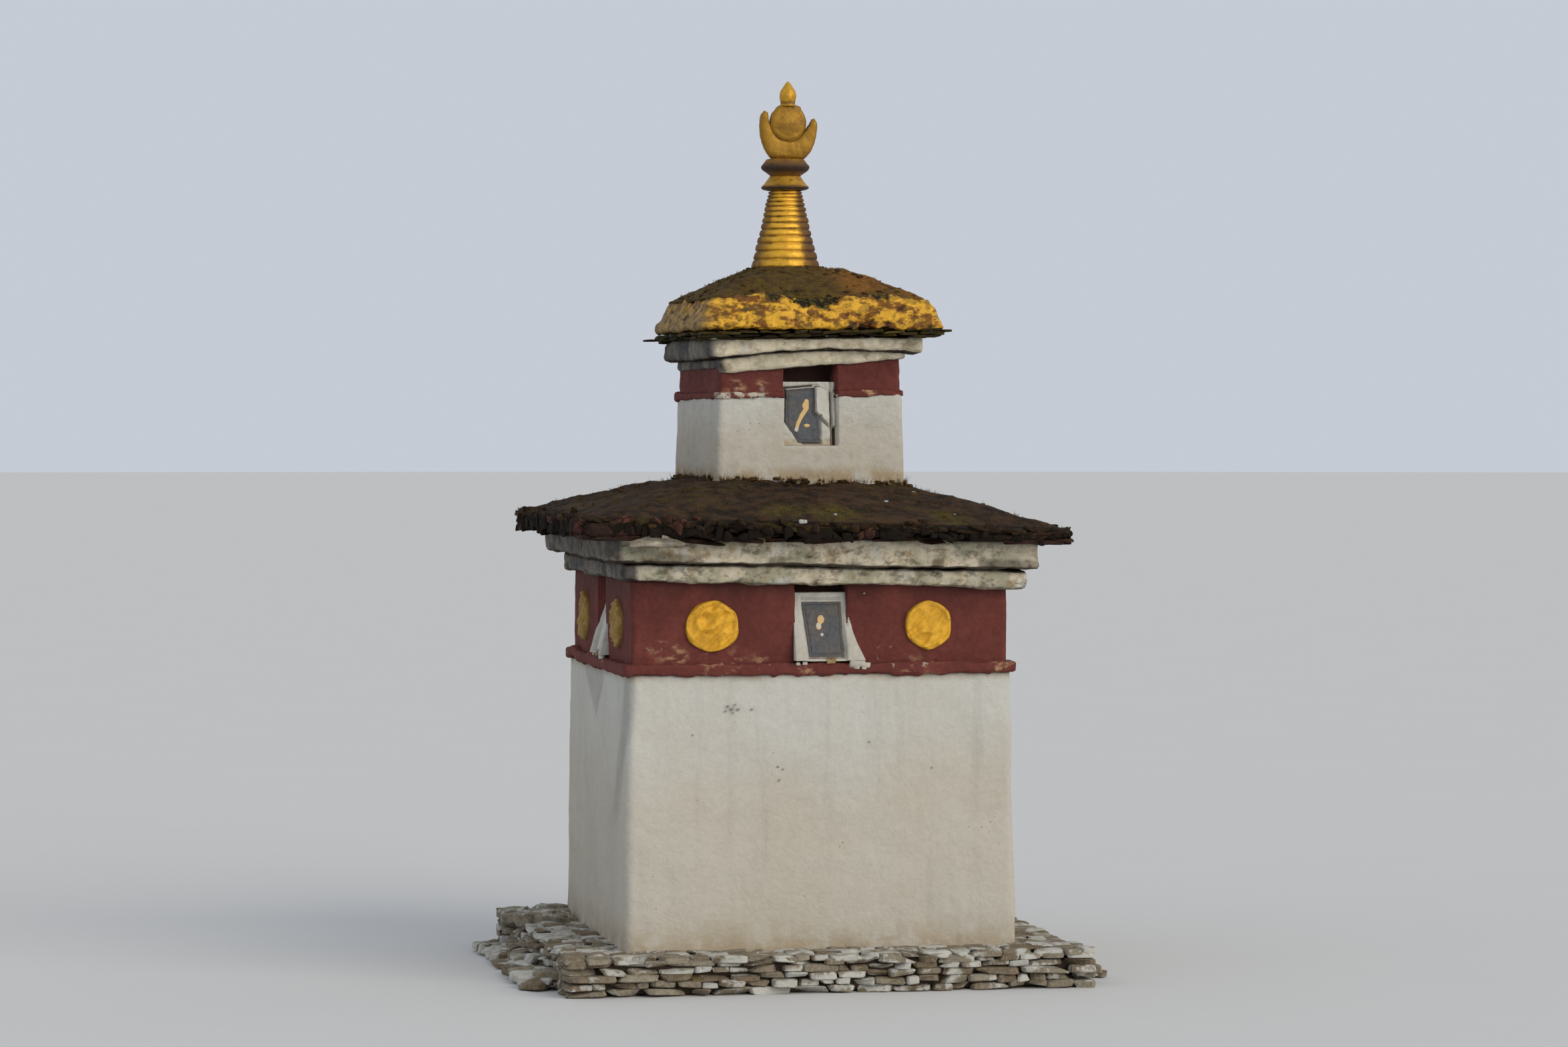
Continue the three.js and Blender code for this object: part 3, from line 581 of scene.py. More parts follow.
class Finish:
    """A material in the making: node() adds any node, the other methods read like paint, and
    colour is what the coats so far add up to."""

    def __init__(self, name):
        self.material = bpy.data.materials.new(name)
        self.material.use_nodes = True
        self.nodes = self.material.node_tree.nodes
        self.links = self.material.node_tree.links
        self.nodes.clear()
        self.place = self.node("ShaderNodeTexCoord", output="Object")
        self.colour = None

    def node(self, kind, settings=None, inputs=None, output=0):
        node = self.nodes.new(kind)
        for key, value in (settings or {}).items():
            setattr(node, key, value)
        for key, value in (inputs or {}).items():
            if isinstance(value, Value):
                self.links.new(value.socket, node.inputs[key])
            else:
                node.inputs[key].default_value = value
        return Value(self, node.outputs[output]) if node.outputs else None

    def noise(self, scale, detail=4.0, stretch=(1.0, 1.0, 1.0), shift=0.0):
        settings = {"vector_type": "POINT"}
        place = {0: self.place, 1: (shift, shift, shift), 3: stretch}
        where = self.node("ShaderNodeMapping", settings, place)
        inputs = {"Vector": where, "Scale": scale, "Detail": detail, "Roughness": 0.6}
        return self.node("ShaderNodeTexNoise", None, inputs)

    def blots(self, scale, low, high, shift=0.0, stretch=(1.0, 1.0, 1.0)):
        """Patches of noise: 0 where it is under low and 1 where it is over high."""
        return self.noise(scale, 5.0, stretch, shift).between(low, high)

    def cells(self, scale):
        """How far the nearest of many scattered points lies."""
        return self.node("ShaderNodeTexVoronoi", None, {"Vector": self.place, "Scale": scale})

    def mix(self, share, first, second, blend="MIX"):
        settings = {"data_type": "RGBA", "blend_type": blend, "clamp_factor": True}
        first = first if isinstance(first, Value) else (*first, 1.0)
        second = second if isinstance(second, Value) else (*second, 1.0)
        return self.node("ShaderNodeMix", settings, {0: share, 6: first, 7: second}, 2)

    def ground(self, share, first, second):
        self.colour = self.mix(share, first, second)

    def coat(self, share, paint):
        self.colour = self.mix(share, self.colour, paint)

    def shade(self, brightness):
        self.colour = self.mix(1.0, self.colour, brightness, "MULTIPLY")

    def mottle(self, scale, share, least):
        """Blotches of brightness from least to least plus the share."""
        self.shade(self.blots(scale, 0.2, 0.8) * share + least)

    def field(self, name):
        return self.node("ShaderNodeAttribute", {"attribute_name": name}, output="Fac")

    def part(self, vector, axis):
        return self.node("ShaderNodeSeparateXYZ", None, {0: vector}, axis)

    def rise(self, foot, head):
        """How far up from the foot to the head a point lies, from 0 to 1 and beyond."""
        return (self.part(self.place, 2) - foot) * (1.0 / (head - foot))

    def facing(self, axis):
        return self.part(self.node("ShaderNodeNewGeometry", output="Normal"), axis)

    def done(self, roughness, bump, depth, metallic=0.0, shine=0.2):
        """Ends the material: a bump of the given depth in metres, and the surface shader."""
        normal = self.node("ShaderNodeBump", None, {"Height": bump, "Distance": depth})
        inputs = {
            "Base Color": self.colour,
            "Roughness": roughness,
            "Metallic": metallic,
            "Specular IOR Level": shine,
            "Normal": normal,
        }
        shader = self.node("ShaderNodeBsdfPrincipled", None, inputs)
        self.node("ShaderNodeOutputMaterial", None, {"Surface": shader})
        return self.material


def limewash(paints, name, foot, head, weather, fresh_and_lit=0.0):
    """Limewash on masonry: cooler and whiter towards the head, warm below, with soft patches and
    rain streaks. An argument gives the share of thick creamy wash, which is brighter than the rest:
    its own colour, and also painted light that makes up for the shade under the eaves. The weather
    adds growth, stains and cracks. The tone field is grey from dampness, and on the left faces it is
    painted shade too. The mark field is ochre stain. The hollow field is soiling in the hollows, and
    painted shade in niches, along seams and under overhangs."""
    finish = Finish(name)
    rise = finish.rise(foot, head)
    clean = rise.between(0.5, 0.95) * 0.7 + finish.blots(1.1, 0.4, 0.62) * 0.3
    finish.ground(clean, paints.lime_warm, paints.lime_cool)
    # Painted light, partly: the creamy share is brighter, to make up for the shade under the eaves.
    finish.coat(fresh_and_lit, paints.lime_fresh_and_lit)
    finish.mottle(26.0, 0.1, 0.92)
    streaks = finish.blots(1.0, 0.5, 0.8, 0.0, (9.0, 9.0, 0.8))
    finish.coat(streaks * 0.12, paints.lime_damp_and_shade)
    finish.coat(finish.blots(5.5, 0.42, 0.6, 3.0) * weather, paints.lichen)
    finish.coat(finish.blots(8.0, 0.54, 0.66, 7.0) * weather * 0.8, paints.ochre)
    finish.coat(finish.blots(6.5, 0.56, 0.68, 19.0) * weather, paints.lime_cool)
    # Painted shade, partly: the tone field greys the left faces as well as the wet stains.
    damp_and_shade = finish.field("tone") * (finish.blots(5.0, 0.3, 0.7, 13.0) * 0.3 + 0.7)
    finish.coat(damp_and_shade, paints.lime_damp_and_shade)
    stain = finish.field("mark") * finish.blots(7.0, 0.36, 0.6, 5.0)
    finish.coat(stain * 0.8, paints.ochre)
    specks = (1.0 - finish.cells(17.0).between(0.05, 0.1)) * finish.blots(3.0, 0.54, 0.6, 9.0)
    cracks = finish.noise(5.0, 4.0, (1.0, 1.0, 2.4), 15.0).near(0.5, 0.05)
    cracks = cracks * finish.blots(4.0, 0.5, 0.62, 17.0) * weather
    grubby = finish.blots(19.0, 0.5, 0.68, 11.0) * weather
    finish.coat(grubby * 0.5, paints.gold_shade)
    grubby = finish.blots(12.0, 0.5, 0.7, 23.0, (1.0, 1.0, 1.5)) * weather
    finish.coat(specks * 0.3 + cracks * 0.4 + grubby * 0.8, paints.grime_and_shade)
    finish.coat(finish.facing(2).between(0.5, 0.9) * 0.6, paints.grime_and_shade)
    finish.coat(finish.field("hollow").between(0.3, 0.9) * 0.9, paints.grime_and_shade)
    grain = finish.noise(38.0, 6.0) + finish.noise(9.0, 4.0) * 1.5 - specks * 0.8 - cracks * 1.5
    return finish.done(finish.noise(14.0, 3.0) * 0.2 + 0.78, grain, 0.005)


def red_wash(paints, name, foot, head):
    """Red earth wash: brighter towards the foot and on worn places, and darker in patches under the
    cornice, which is painted shade. The mark field thins it to pale scratches and, where it is
    full, to flakes of bare lime. The hollow field darkens it: soiling, and painted shade in the
    niches."""
    finish = Finish(name)
    rise = finish.rise(foot, head)
    worn_off = finish.blots(3.4, 0.42, 0.68) * 0.6 + (1.0 - rise.between(0.0, 1.0)) * 0.35
    finish.ground(worn_off, paints.red_deep, paints.red_bright)
    finish.mottle(30.0, 0.3, 0.82)
    mark = finish.field("mark")
    scratches = finish.blots(13.0, 0.48, 0.66, 4.0, (1.0, 1.0, 1.9)) * mark.between(0.15, 0.75)
    finish.coat(scratches * 0.75, paints.scratch)
    few = finish.blots(19.0, 0.66, 0.7, 2.0) * (1.0 - rise.between(0.0, 0.5))
    flakes = few * 0.7 + finish.blots(17.0, 0.42, 0.5, 6.0) * mark.between(0.75, 1.1)
    finish.coat(flakes, paints.lime_warm)
    # Painted shade: patches darker under the cornice.
    painted_shade = rise.between(0.75, 1.0) * finish.blots(5.0, 0.3, 0.7)
    finish.coat(painted_shade * 0.5, paints.grime_and_shade)
    finish.coat(finish.field("hollow").between(0.3, 0.9) * 0.85, paints.grime_and_shade)
    grain = finish.noise(26.0, 6.0) + finish.noise(8.0, 4.0) - flakes * 0.6 - scratches * 0.4
    return finish.done(finish.noise(12.0, 3.0) * 0.2 + 0.75, grain, 0.008)


def gilt_clay(paints, name, age):
    """Gold paint on lumpy clay: orange-brown in the hollows, which on the discs is painted shade of
    their wrinkles; duller and darker by the tone field, partly paint gone dull and partly painted
    shade on the left faces; and dark moss by the mark field. The age brings blotches and pits."""
    finish = Finish(name)
    hollow = finish.field("hollow")
    tarnish = finish.blots(11.0, 0.44, 0.58, 0.0, (1.0, 1.0, 1.9)) * (0.95 * age)
    tarnish = tarnish + hollow.between(0.1, 0.9) * 0.7
    finish.ground(0.15 * age, paints.gold, paints.gold_brown)
    finish.coat(tarnish, paints.gold_shade)
    finish.coat(finish.field("tone"), paints.gold_dull_and_shaded)
    finish.mottle(34.0, 0.25, 0.85)
    pits = finish.blots(15.0, 0.5, 0.6, 3.0) * (hollow.between(0.0, 0.6) * 0.5 + 0.5) * age
    finish.coat(pits * 0.85, paints.grime_and_shade)
    growth = finish.field("mark") + finish.noise(8.0, 7.0, shift=6.0) - 0.5
    growth = growth.between(0.34, 0.48)
    moss = finish.mix(finish.blots(24.0, 0.44, 0.62, 1.0), paints.slab, paints.turf_moss)
    finish.coat(growth, moss)
    grain = finish.noise(24.0, 6.0) + finish.noise(60.0, 4.0) * 0.4 - pits * 0.8
    rough_here = growth * 0.4 + finish.noise(11.0, 3.0) * 0.2 + 0.48
    return finish.done(rough_here, grain, 0.008, 0.15 - growth * 0.15, 0.25)


def gilt_metal(paints, name):
    """Gilded sheet metal: matt brown gold by the tone field, darker by the mark field, and dark in
    the grooves and pits. On the spire's flanks, and in the band under each collar's widest part,
    these fields are partly painted shade; in the grooves the dark is patina."""
    finish = Finish(name)
    finish.ground(finish.blots(9.0, 0.44, 0.66) * 0.3, paints.gold, paints.gold_shade)
    # Painted shade, partly: on the spire's flanks and under the collars, the tone field stands for shade.
    finish.coat(finish.field("tone"), paints.gold_brown)
    dark = finish.field("mark") + finish.noise(15.0, 6.0, shift=3.0) - 0.5
    dark = dark.between(0.14, 0.6)
    finish.coat(dark * 0.8, paints.gold_shade)
    finish.coat(finish.field("hollow").between(0.2, 0.9) * 0.85, paints.grime_and_shade)
    pits = finish.blots(30.0, 0.6, 0.7, 5.0) * (dark * 0.7 + 0.3)
    finish.coat(pits * 0.8 + dark * 0.35, paints.grime_and_shade)
    grain = finish.noise(30.0, 5.0) + finish.noise(80.0, 3.0) * 0.3 - pits * 0.5
    rough_here = finish.noise(12.0, 4.0) * 0.25 + dark * 0.25 + 0.34
    return finish.done(rough_here, grain, 0.003, 0.5 - dark * 0.35, 0.4)


def carved_slate(paints, name):
    """Split slate with faint layers; the mark field is gold paint, and the tone field lime."""
    finish = Finish(name)
    bands = finish.blots(6.0, 0.35, 0.65, 0.0, (1.0, 1.0, 2.2))
    finish.ground(bands * 0.4, paints.slate, paints.stone_brown)
    finish.mottle(40.0, 0.4, 0.65)
    finish.coat(finish.field("hollow") * 0.75, paints.grime_and_shade)
    leaf = finish.mix(0.35, paints.gold, paints.lime_cool)
    finish.coat(finish.field("mark").between(0.35, 0.6) * 0.95, leaf)
    lime = finish.field("tone") + finish.noise(40.0, 4.0) * 0.4
    lime = lime.between(0.62, 0.85)
    finish.coat(lime, paints.lime_cool)
    grain = finish.noise(60.0, 6.0) + finish.noise(14.0, 4.0)
    return finish.done(finish.noise(20.0, 3.0) * 0.25 + 0.5, grain, 0.003)


def field_stone(paints, name, first, second, lime_share, moss_share):
    """Rough stone: each stone's tone lies between two colours, with grain, splashes of lime by the
    mark field, moss on what faces up, and darkness by the hollow field: soiling in the hollows, and
    painted shade on the plinth's dark core behind the stones."""
    finish = Finish(name)
    tone = finish.field("tone") * 0.85 + finish.blots(7.0, 0.3, 0.7) * 0.15
    finish.ground(tone, first, second)
    finish.mottle(45.0, 0.5, 0.6)
    lime = finish.field("mark") * 0.5 + finish.noise(8.0, 7.0, shift=5.0)
    lime = lime.between(0.86 - 0.3 * lime_share, 0.94 - 0.3 * lime_share)
    finish.coat(lime * 0.8, paints.lime_cool)
    moss = finish.facing(2).between(0.1, 0.8) * finish.blots(9.0, 0.48, 0.62, 8.0)
    finish.coat(moss * moss_share, paints.turf_moss)
    finish.coat(finish.field("hollow") * 0.9, paints.grime_and_shade)
    grain = finish.noise(24.0, 7.0) + finish.noise(70.0, 4.0) * 0.4
    return finish.done(finish.noise(15.0, 3.0) * 0.2 + 0.78, grain, 0.012)


def turf(paints, name):
    """Dry turf: earth streaked down the slope, olive moss by the mark field, straw by the tone
    field, pale where that is over one, and near-black by the hollow field: in hollows, and as
    painted shade along the lower roof's hanging edge and its lower row of sods."""
    finish = Finish(name)
    finish.ground(finish.blots(9.0, 0.35, 0.68), paints.turf_earth, paints.slab)
    mossy = finish.field("mark") + finish.noise(5.0, 7.0, shift=2.0) - 0.5
    mossy = mossy.between(0.1, 0.62) * finish.blots(19.0, 0.32, 0.6, 4.0)
    finish.coat(mossy, paints.turf_moss)
    straw = finish.blots(50.0, 0.58, 0.74, 6.0) * 0.35 + finish.field("tone") * 0.65
    finish.coat(straw, paints.straw)
    finish.coat(finish.field("tone").between(1.3, 1.5), paints.lime_cool)
    # Painted shade, partly: the hollow field carries the hanging edge's shade, coated in the dark slab
    # colour.
    dark = finish.field("hollow").between(0.1, 0.9)
    finish.coat(dark * 0.85, paints.slab)
    finish.shade(finish.blots(70.0, 0.25, 0.75) * 0.6 + 0.55 - dark * 0.25)
    grain = finish.noise(30.0, 7.0) + finish.noise(90.0, 5.0) * 0.6
    return finish.done(finish.noise(20.0, 2.0) * 0.1 + 0.88, grain, 0.02)


# Masonry


def course(
    half, low, high, ring, layers, inner, seeds, bend, shift=0.0, slopes=(0.0, 0.0), depth=0.0,
):
    """A course of masonry: a square column with soft edges, its low and high faces sloped along X
    and bent by slow noise, so that courses with a seed in common share that face; then its skin
    is worn. Gives the grid, its hollows, and how far up the course each point lies."""
    edge = min(0.03, (high - low) * 0.22)
    path = stepped([
        (inner, low),
        (half - edge, low),
        (half - edge * 0.3, low + edge * 0.3),
        (half, low + edge),
        (half, high - edge),
        (half - edge * 0.3, high - edge * 0.3),
        (half - edge, high),
        (inner, high),
    ], 0.014)
    grid = squared(path, ring, 0.05, depth)
    grid[..., 0] += shift
    share = (grid[..., 2] - low) / (high - low)
    plan = level(grid)
    for part, seed, slope in ((1.0 - share, seeds[0], slopes[0]), (share, seeds[1], slopes[1])):
        wave = noise(plan, 0.36, seed) + 0.5 * noise(plan, 0.1, seed + 1)
        grid[..., 2] += part * (bend * wave + slope * grid[..., 0])
    grid, hollow = worn(grid, layers, seeds[0] + 5)
    return grid, hollow, share


def unmoved(points):
    return points


def stone_row(rng, shell, side, half, mean, out, low, high, depth, power, ragged, move=unmoved, **values):
    """One course of stones along a side: they end unevenly outwards by ragged, and move() takes
    them to the building."""
    middle, length_half = row(rng, half, mean)
    count = len(middle)
    ends = out - ragged * rng.random(count)
    depth_half = depth / 2 * rng.uniform(0.8, 1.1, count)
    height_half = (high - low) / 2 * rng.uniform(0.84, 1.15, count)
    centre = xyz(middle, ends - depth_half, (low + high) / 2)
    centre[:, 2] += rng.uniform(-0.08, 0.08, count) * (high - low)
    half_sizes = xyz(length_half * 1.03, depth_half, height_half)
    yaw = rng.normal(0.0, 0.05, count)
    tip = rng.normal(0.0, 0.035, (count, 2))
    points = stones(centre, half_sizes, power, 0.13, int(rng.integers(1000)), yaw, tip, cuts=2)
    points[..., 2] = most(points[..., 2], 0.0)
    spread = {field: value * rng.random(count) for field, value in {"tone": 1.0, **values}.items()}
    shell.blocks(move(on_side(points, side)), **spread)


def flecks(shell, places, seed, move, **values):
    """Flat chips set in a wall: each place is (across, outward, height, size)."""
    places = np.array(places)
    half = places[:, 3:] * (1.0, 0.5, 0.8)
    points = stones(places[:, :3], half, 2.4, 0.3, seed)
    full = {field: np.full(len(places), value) for field, value in values.items()}
    shell.blocks(move(points), **full)


def to_front(points):
    return on_side(points, "front")


# Pieces


class StupaOperator:
    """What the operators share: one undo step, and the sizes and colours of the scene."""

    bl_options = {"REGISTER", "UNDO"}

    def execute(self, context):
        self.build(context.scene.stupa_sizes, context.scene.stupa_colours)
        return {"FINISHED"}


class STUPA_OT_plinth(StupaOperator, bpy.types.Operator):
    """Lay the rubble ledge round the foot of the walls, with its spills and the pale heap"""

    bl_idname = "stupa.plinth"
    bl_label = "Plinth"

    def build(self, sizes, paints):
        material = field_stone(
            paints, "Plinth rubble", paints.stone_brown, paints.stone_grey, lime_share=0.7,
            moss_share=0.5,
        )
        for index, side in enumerate(SIDES):
            rng = np.random.default_rng(40 + index)
            shell = Shell()
            beside = side in ("left", "right")
            half = 1.4 if beside else 1.8
            middle, reach = np.array([[0.0, 1.52, 0.112]]), np.array([[half - 0.12, 0.17, 0.11]])
            # Painted shade, partly: the earth core behind the stones is painted dark so that the gaps
            # between them read as shade.
            earth = stones(middle, reach, power=9.0, dent=0.0, seed=1)
            shell.blocks(on_side(earth, side), hollow=np.array([0.9]))
            for low, high, out, mean in (
                (0.0, 0.052, 1.8, 0.21), (0.046, 0.102, 1.79, 0.15), (0.094, 0.15, 1.8, 0.23),
                (0.142, 0.192, 1.785, 0.17), (0.186, 0.236, 1.78, 0.2),
            ):
                for behind in (0.0, 0.22):
                    stone_row(
                        rng, shell, side, half, mean, out - behind, low, high, depth=0.26, power=5.0,
                        ragged=0.045, mark=0.55,
                    )
            for out in (1.78, 1.66, 1.54, 1.45):
                stone_row(
                    rng, shell, side, half, 0.16, out, 0.212, 0.26, depth=0.17, power=4.5,
                    ragged=0.05, mark=0.75,
                )
            if beside:
                self.spill(rng, shell, side)
            if side == "left":
                self.heap(rng, shell)
            shell.piece(f"rubble_{side}", material, "rubble", f"plinth_{side}", soft=False)

    def spill(self, rng, shell, side):
        """Stones scattered past the ledge, lower the further out they lie."""
        count = 110
        out = rng.uniform(1.76, 2.0, count)
        size = rng.uniform(0.03, 0.085, count)
        half = xyz(size * 1.4, size, size * 0.5)
        lift = (2.02 - out) / 0.24 * 0.07 * rng.random(count)
        across = rng.uniform(-1.27, 1.27, count)
        centre = xyz(across, least(out, 2.02 - size * 1.1), half[:, 2] + lift)
        points = stones(centre, half, 3.5, 0.16, 71, rng.uniform(-3, 3, count), cuts=3)
        points[..., 2] = most(points[..., 2], 0.0)
        splashed = (rng.random(count) > 0.5) * 0.8
        shell.blocks(on_side(points, side), tone=rng.random(count), mark=splashed)

    def heap(self, rng, shell):
        """Pale boulders piled against the back end of the left wall."""
        count = 44
        along = rng.uniform(-1.36, -0.7, count)
        out = rng.uniform(1.38, 1.76, count)
        size = rng.uniform(0.05, 0.11, count)
        half = xyz(size * 1.2, size, size * 0.6)
        height = 0.262 + 0.03 * rng.random(count) - (out - 1.42) * 0.06
        centre = xyz(along, out, height - 0.2 * half[:, 2])
        points = stones(centre, half, 3.0, 0.16, 77, rng.uniform(-3, 3, count), cuts=3)
        shell.blocks(on_side(points, "left"), tone=0.6 + 0.5 * rng.random(count), mark=0.3 + 0 * size)


class STUPA_OT_walls(StupaOperator, bpy.types.Operator):
    """Build the lower walls, their red ledge and the red band with its niches"""

    bl_idname = "stupa.walls"
    bl_label = "Lower walls and band"

    def build(self, sizes, paints):
        red = red_wash(paints, "Red wash", WALL_TOP, CORNICE_FOOT)
        self.walls(sizes, limewash(paints, "Limewashed wall", 0.0, WALL_TOP, weather=0.0))
        self.ledge(red)
        self.band(sizes, red)

    def walls(self, sizes, white):
        """Leaning walls, stained by earth at the foot and under the ledge. On the left side a wet stain
        runs down from the ledge's middle, and a darker grey band runs down near the front corner."""
        path = stepped([(sizes.wall_foot, 0.0), (sizes.wall_head, WALL_TOP)], 0.03)
        layers = [(0.01, 0.6), (0.0045, 0.17), (0.002, 0.055)]
        grid, hollow = worn(squared(path, Ring(86, 5), sizes.wall_corner), layers, 3)
        height = grid[..., 2]
        stain = between(height, 0.5, 0.15) * 0.9 + 0.5 * between(height, 2.05, 2.08)
        left = between(-grid[..., 0], 1.25, 1.28)
        drip = between(height, 1.66, 2.08)
        damp_and_shade = smooth((0.46 * drip - np.abs(grid[..., 1] - 0.14 * drip)) / 0.08) * smooth(drip / 0.1)
        corner = smooth((0.2 - np.abs(grid[..., 1] + 1.28 - 0.4 * (2.05 - height))) / 0.12)
        damp_and_shade = most(damp_and_shade, corner * between(height, 0.9, 1.4))
        shell = Shell()
        shell.tube(grid, hollow=hollow * 0.1, mark=stain, tone=0.3 * damp_and_shade * left)
        flecks(shell, [
            (-0.64, 1.327, 1.89, 0.01), (-0.612, 1.327, 1.872, 0.013),
            (-0.59, 1.327, 1.9, 0.008), (-0.57, 1.327, 1.868, 0.011),
            (-0.655, 1.327, 1.858, 0.008), (-0.605, 1.327, 1.846, 0.007),
            (-0.475, 1.327, 1.868, 0.009), (-0.3, 1.332, 1.48, 0.008),
            (-0.265, 1.333, 1.462, 0.007), (-0.29, 1.334, 1.39, 0.008),
            (0.33, 1.33, 1.64, 0.007), (0.76, 1.331, 1.46, 0.008),
            (-0.88, 1.329, 1.7, 0.007),
        ], 4, to_front, hollow=0.6)
        shell.piece("walls", white, "whitewash", "body")

    def ledge(self, red):
        """A course with drips of wash hanging from its foot, lumps, and pale scratches."""
        layers = [(0.006, 0.2), (0.005, 0.06), (0.003, 0.025)]
        grid, hollow, share = course(
            1.349, LEDGE_FOOT, LEDGE_TOP, Ring(142, 5), layers, inner=1.2, seeds=(5, 7), bend=0.007,
        )
        drips = noise(level(grid), 0.055, 6) - 0.25
        grid[..., 2] -= 0.024 * most(drips, 0.0) * between(share, 0.5, 0.1)
        grid[..., 2] += swellings(grid, [
            (-1.34, 1.05, 2.16, 0.12, 0.028), (-1.33, 0.3, 2.17, 0.1, 0.02),
            (-0.3, -1.34, 2.17, 0.08, 0.014), (0.95, -1.34, 2.17, 0.1, 0.012),
        ])
        pale = swellings(grid, [
            (0.66, -1.35, 2.16, 0.18, 0.7), (1.26, -1.35, 2.16, 0.12, 0.8),
            (-0.7, -1.35, 2.15, 0.2, 0.6), (-0.1, -1.35, 2.15, 0.1, 0.6),
        ])
        tube_piece(
            "string_ledge", red, "red_wash", "string_course", grid, hollow=hollow * 0.6, mark=pale,
        )

    def band(self, sizes, red):
        """The wall between ledge and cornice, dark in its niches and scratched near its foot."""
        band = sizes.band_half
        ring = Ring(108, 3, sizes.niche_width / 2 / (band - 0.03), tuple(SIDES))
        path = stepped([(band + 0.006, BAND_FOOT), (band, 2.2), (band, BAND_TOP)], 0.022)
        layers = [(0.007, 0.3), (0.004, 0.1), (0.002, 0.04)]
        grid, hollow = worn(squared(path, ring, 0.03, sizes.niche_depth), layers, 9)
        pale = swellings(grid, [
            (-1.1, -1.29, 2.27, 0.1, 0.5), (-0.96, -1.29, 2.22, 0.1, 0.55),
            (-0.6, -1.29, 2.19, 0.12, 0.5), (-0.4, -1.29, 2.19, 0.08, 0.45),
            (0.66, -1.29, 2.18, 0.12, 0.4), (1.29, 0.5, 2.22, 0.25, 0.7),
            (0.4, 1.29, 2.22, 0.25, 0.7),
        ])
        shell = Shell()
        # Painted shade: the insides of the niches are painted dark.
        shell.tube(grid, hollow=most(hollow * 0.3, ring.dent * 0.7), mark=pale)
        flecks(shell, [(0.805, 1.29, 2.19, 0.012), (0.3, 1.29, 2.64, 0.008)], 8, to_front, mark=1.6)
        shell.piece("band_wall", red, "red_wash", "red_band")


BED_FOOT = (1.338, 2.182)
BED_LEAN = math.radians(15.0)
BED_LENGTH = 0.476
SLATE_FOOT = 0.034
SLATE_HEIGHT = 0.38
SLATE_SHIFT = 0.01
LEFT_INSET = 0.024


def slate_edges(rise):
    """How far a slate reaches left and right at a share of its height: it widens leftwards."""
    return -0.098 - 0.036 * rise, 0.146 - 0.009 * rise


def in_niche(points, side):
    """From a niche's own frame to the building's. The left side's bed lies deeper."""
    return on_side(points - (0.0, LEFT_INSET if side == "left" else 0.0, 0.0), side)


def on_slope(foot, lean, across, along, lift):
    """Side frame points on a leaning bed: the foot, moved up the slope and off it."""
    out = foot[0] - along * math.sin(lean) + lift * math.cos(lean)
    height = foot[1] + along * math.cos(lean) + lift * math.sin(lean)
    return xyz(across, out, height)


def spot(across, along, middle, radii, sharp=2.0):
    """1 at a round spot's middle, falling to 0 at its radii and beyond."""
    far = ((across - middle[0]) / radii[0]) ** 2 + ((along - middle[1]) / radii[1]) ** 2
    return np.clip((1.0 - far) * sharp, 0.0, 1.0)


def stroke(across, along, points, width):
    """1 on a brush stroke through the given points, falling to 0 at its half width."""
    best = np.full(np.broadcast(across, along).shape, 1e9)
    for (x0, y0), (x1, y1) in zip(points, points[1:]):
        dx, dy = x1 - x0, y1 - y0
        share = np.clip(((across - x0) * dx + (along - y0) * dy) / (dx * dx + dy * dy), 0, 1)
        best = least(best, np.hypot(across - x0 - share * dx, along - y0 - share * dy))
    return np.clip(1.6 - 1.6 * best / width, 0.0, 1.0)


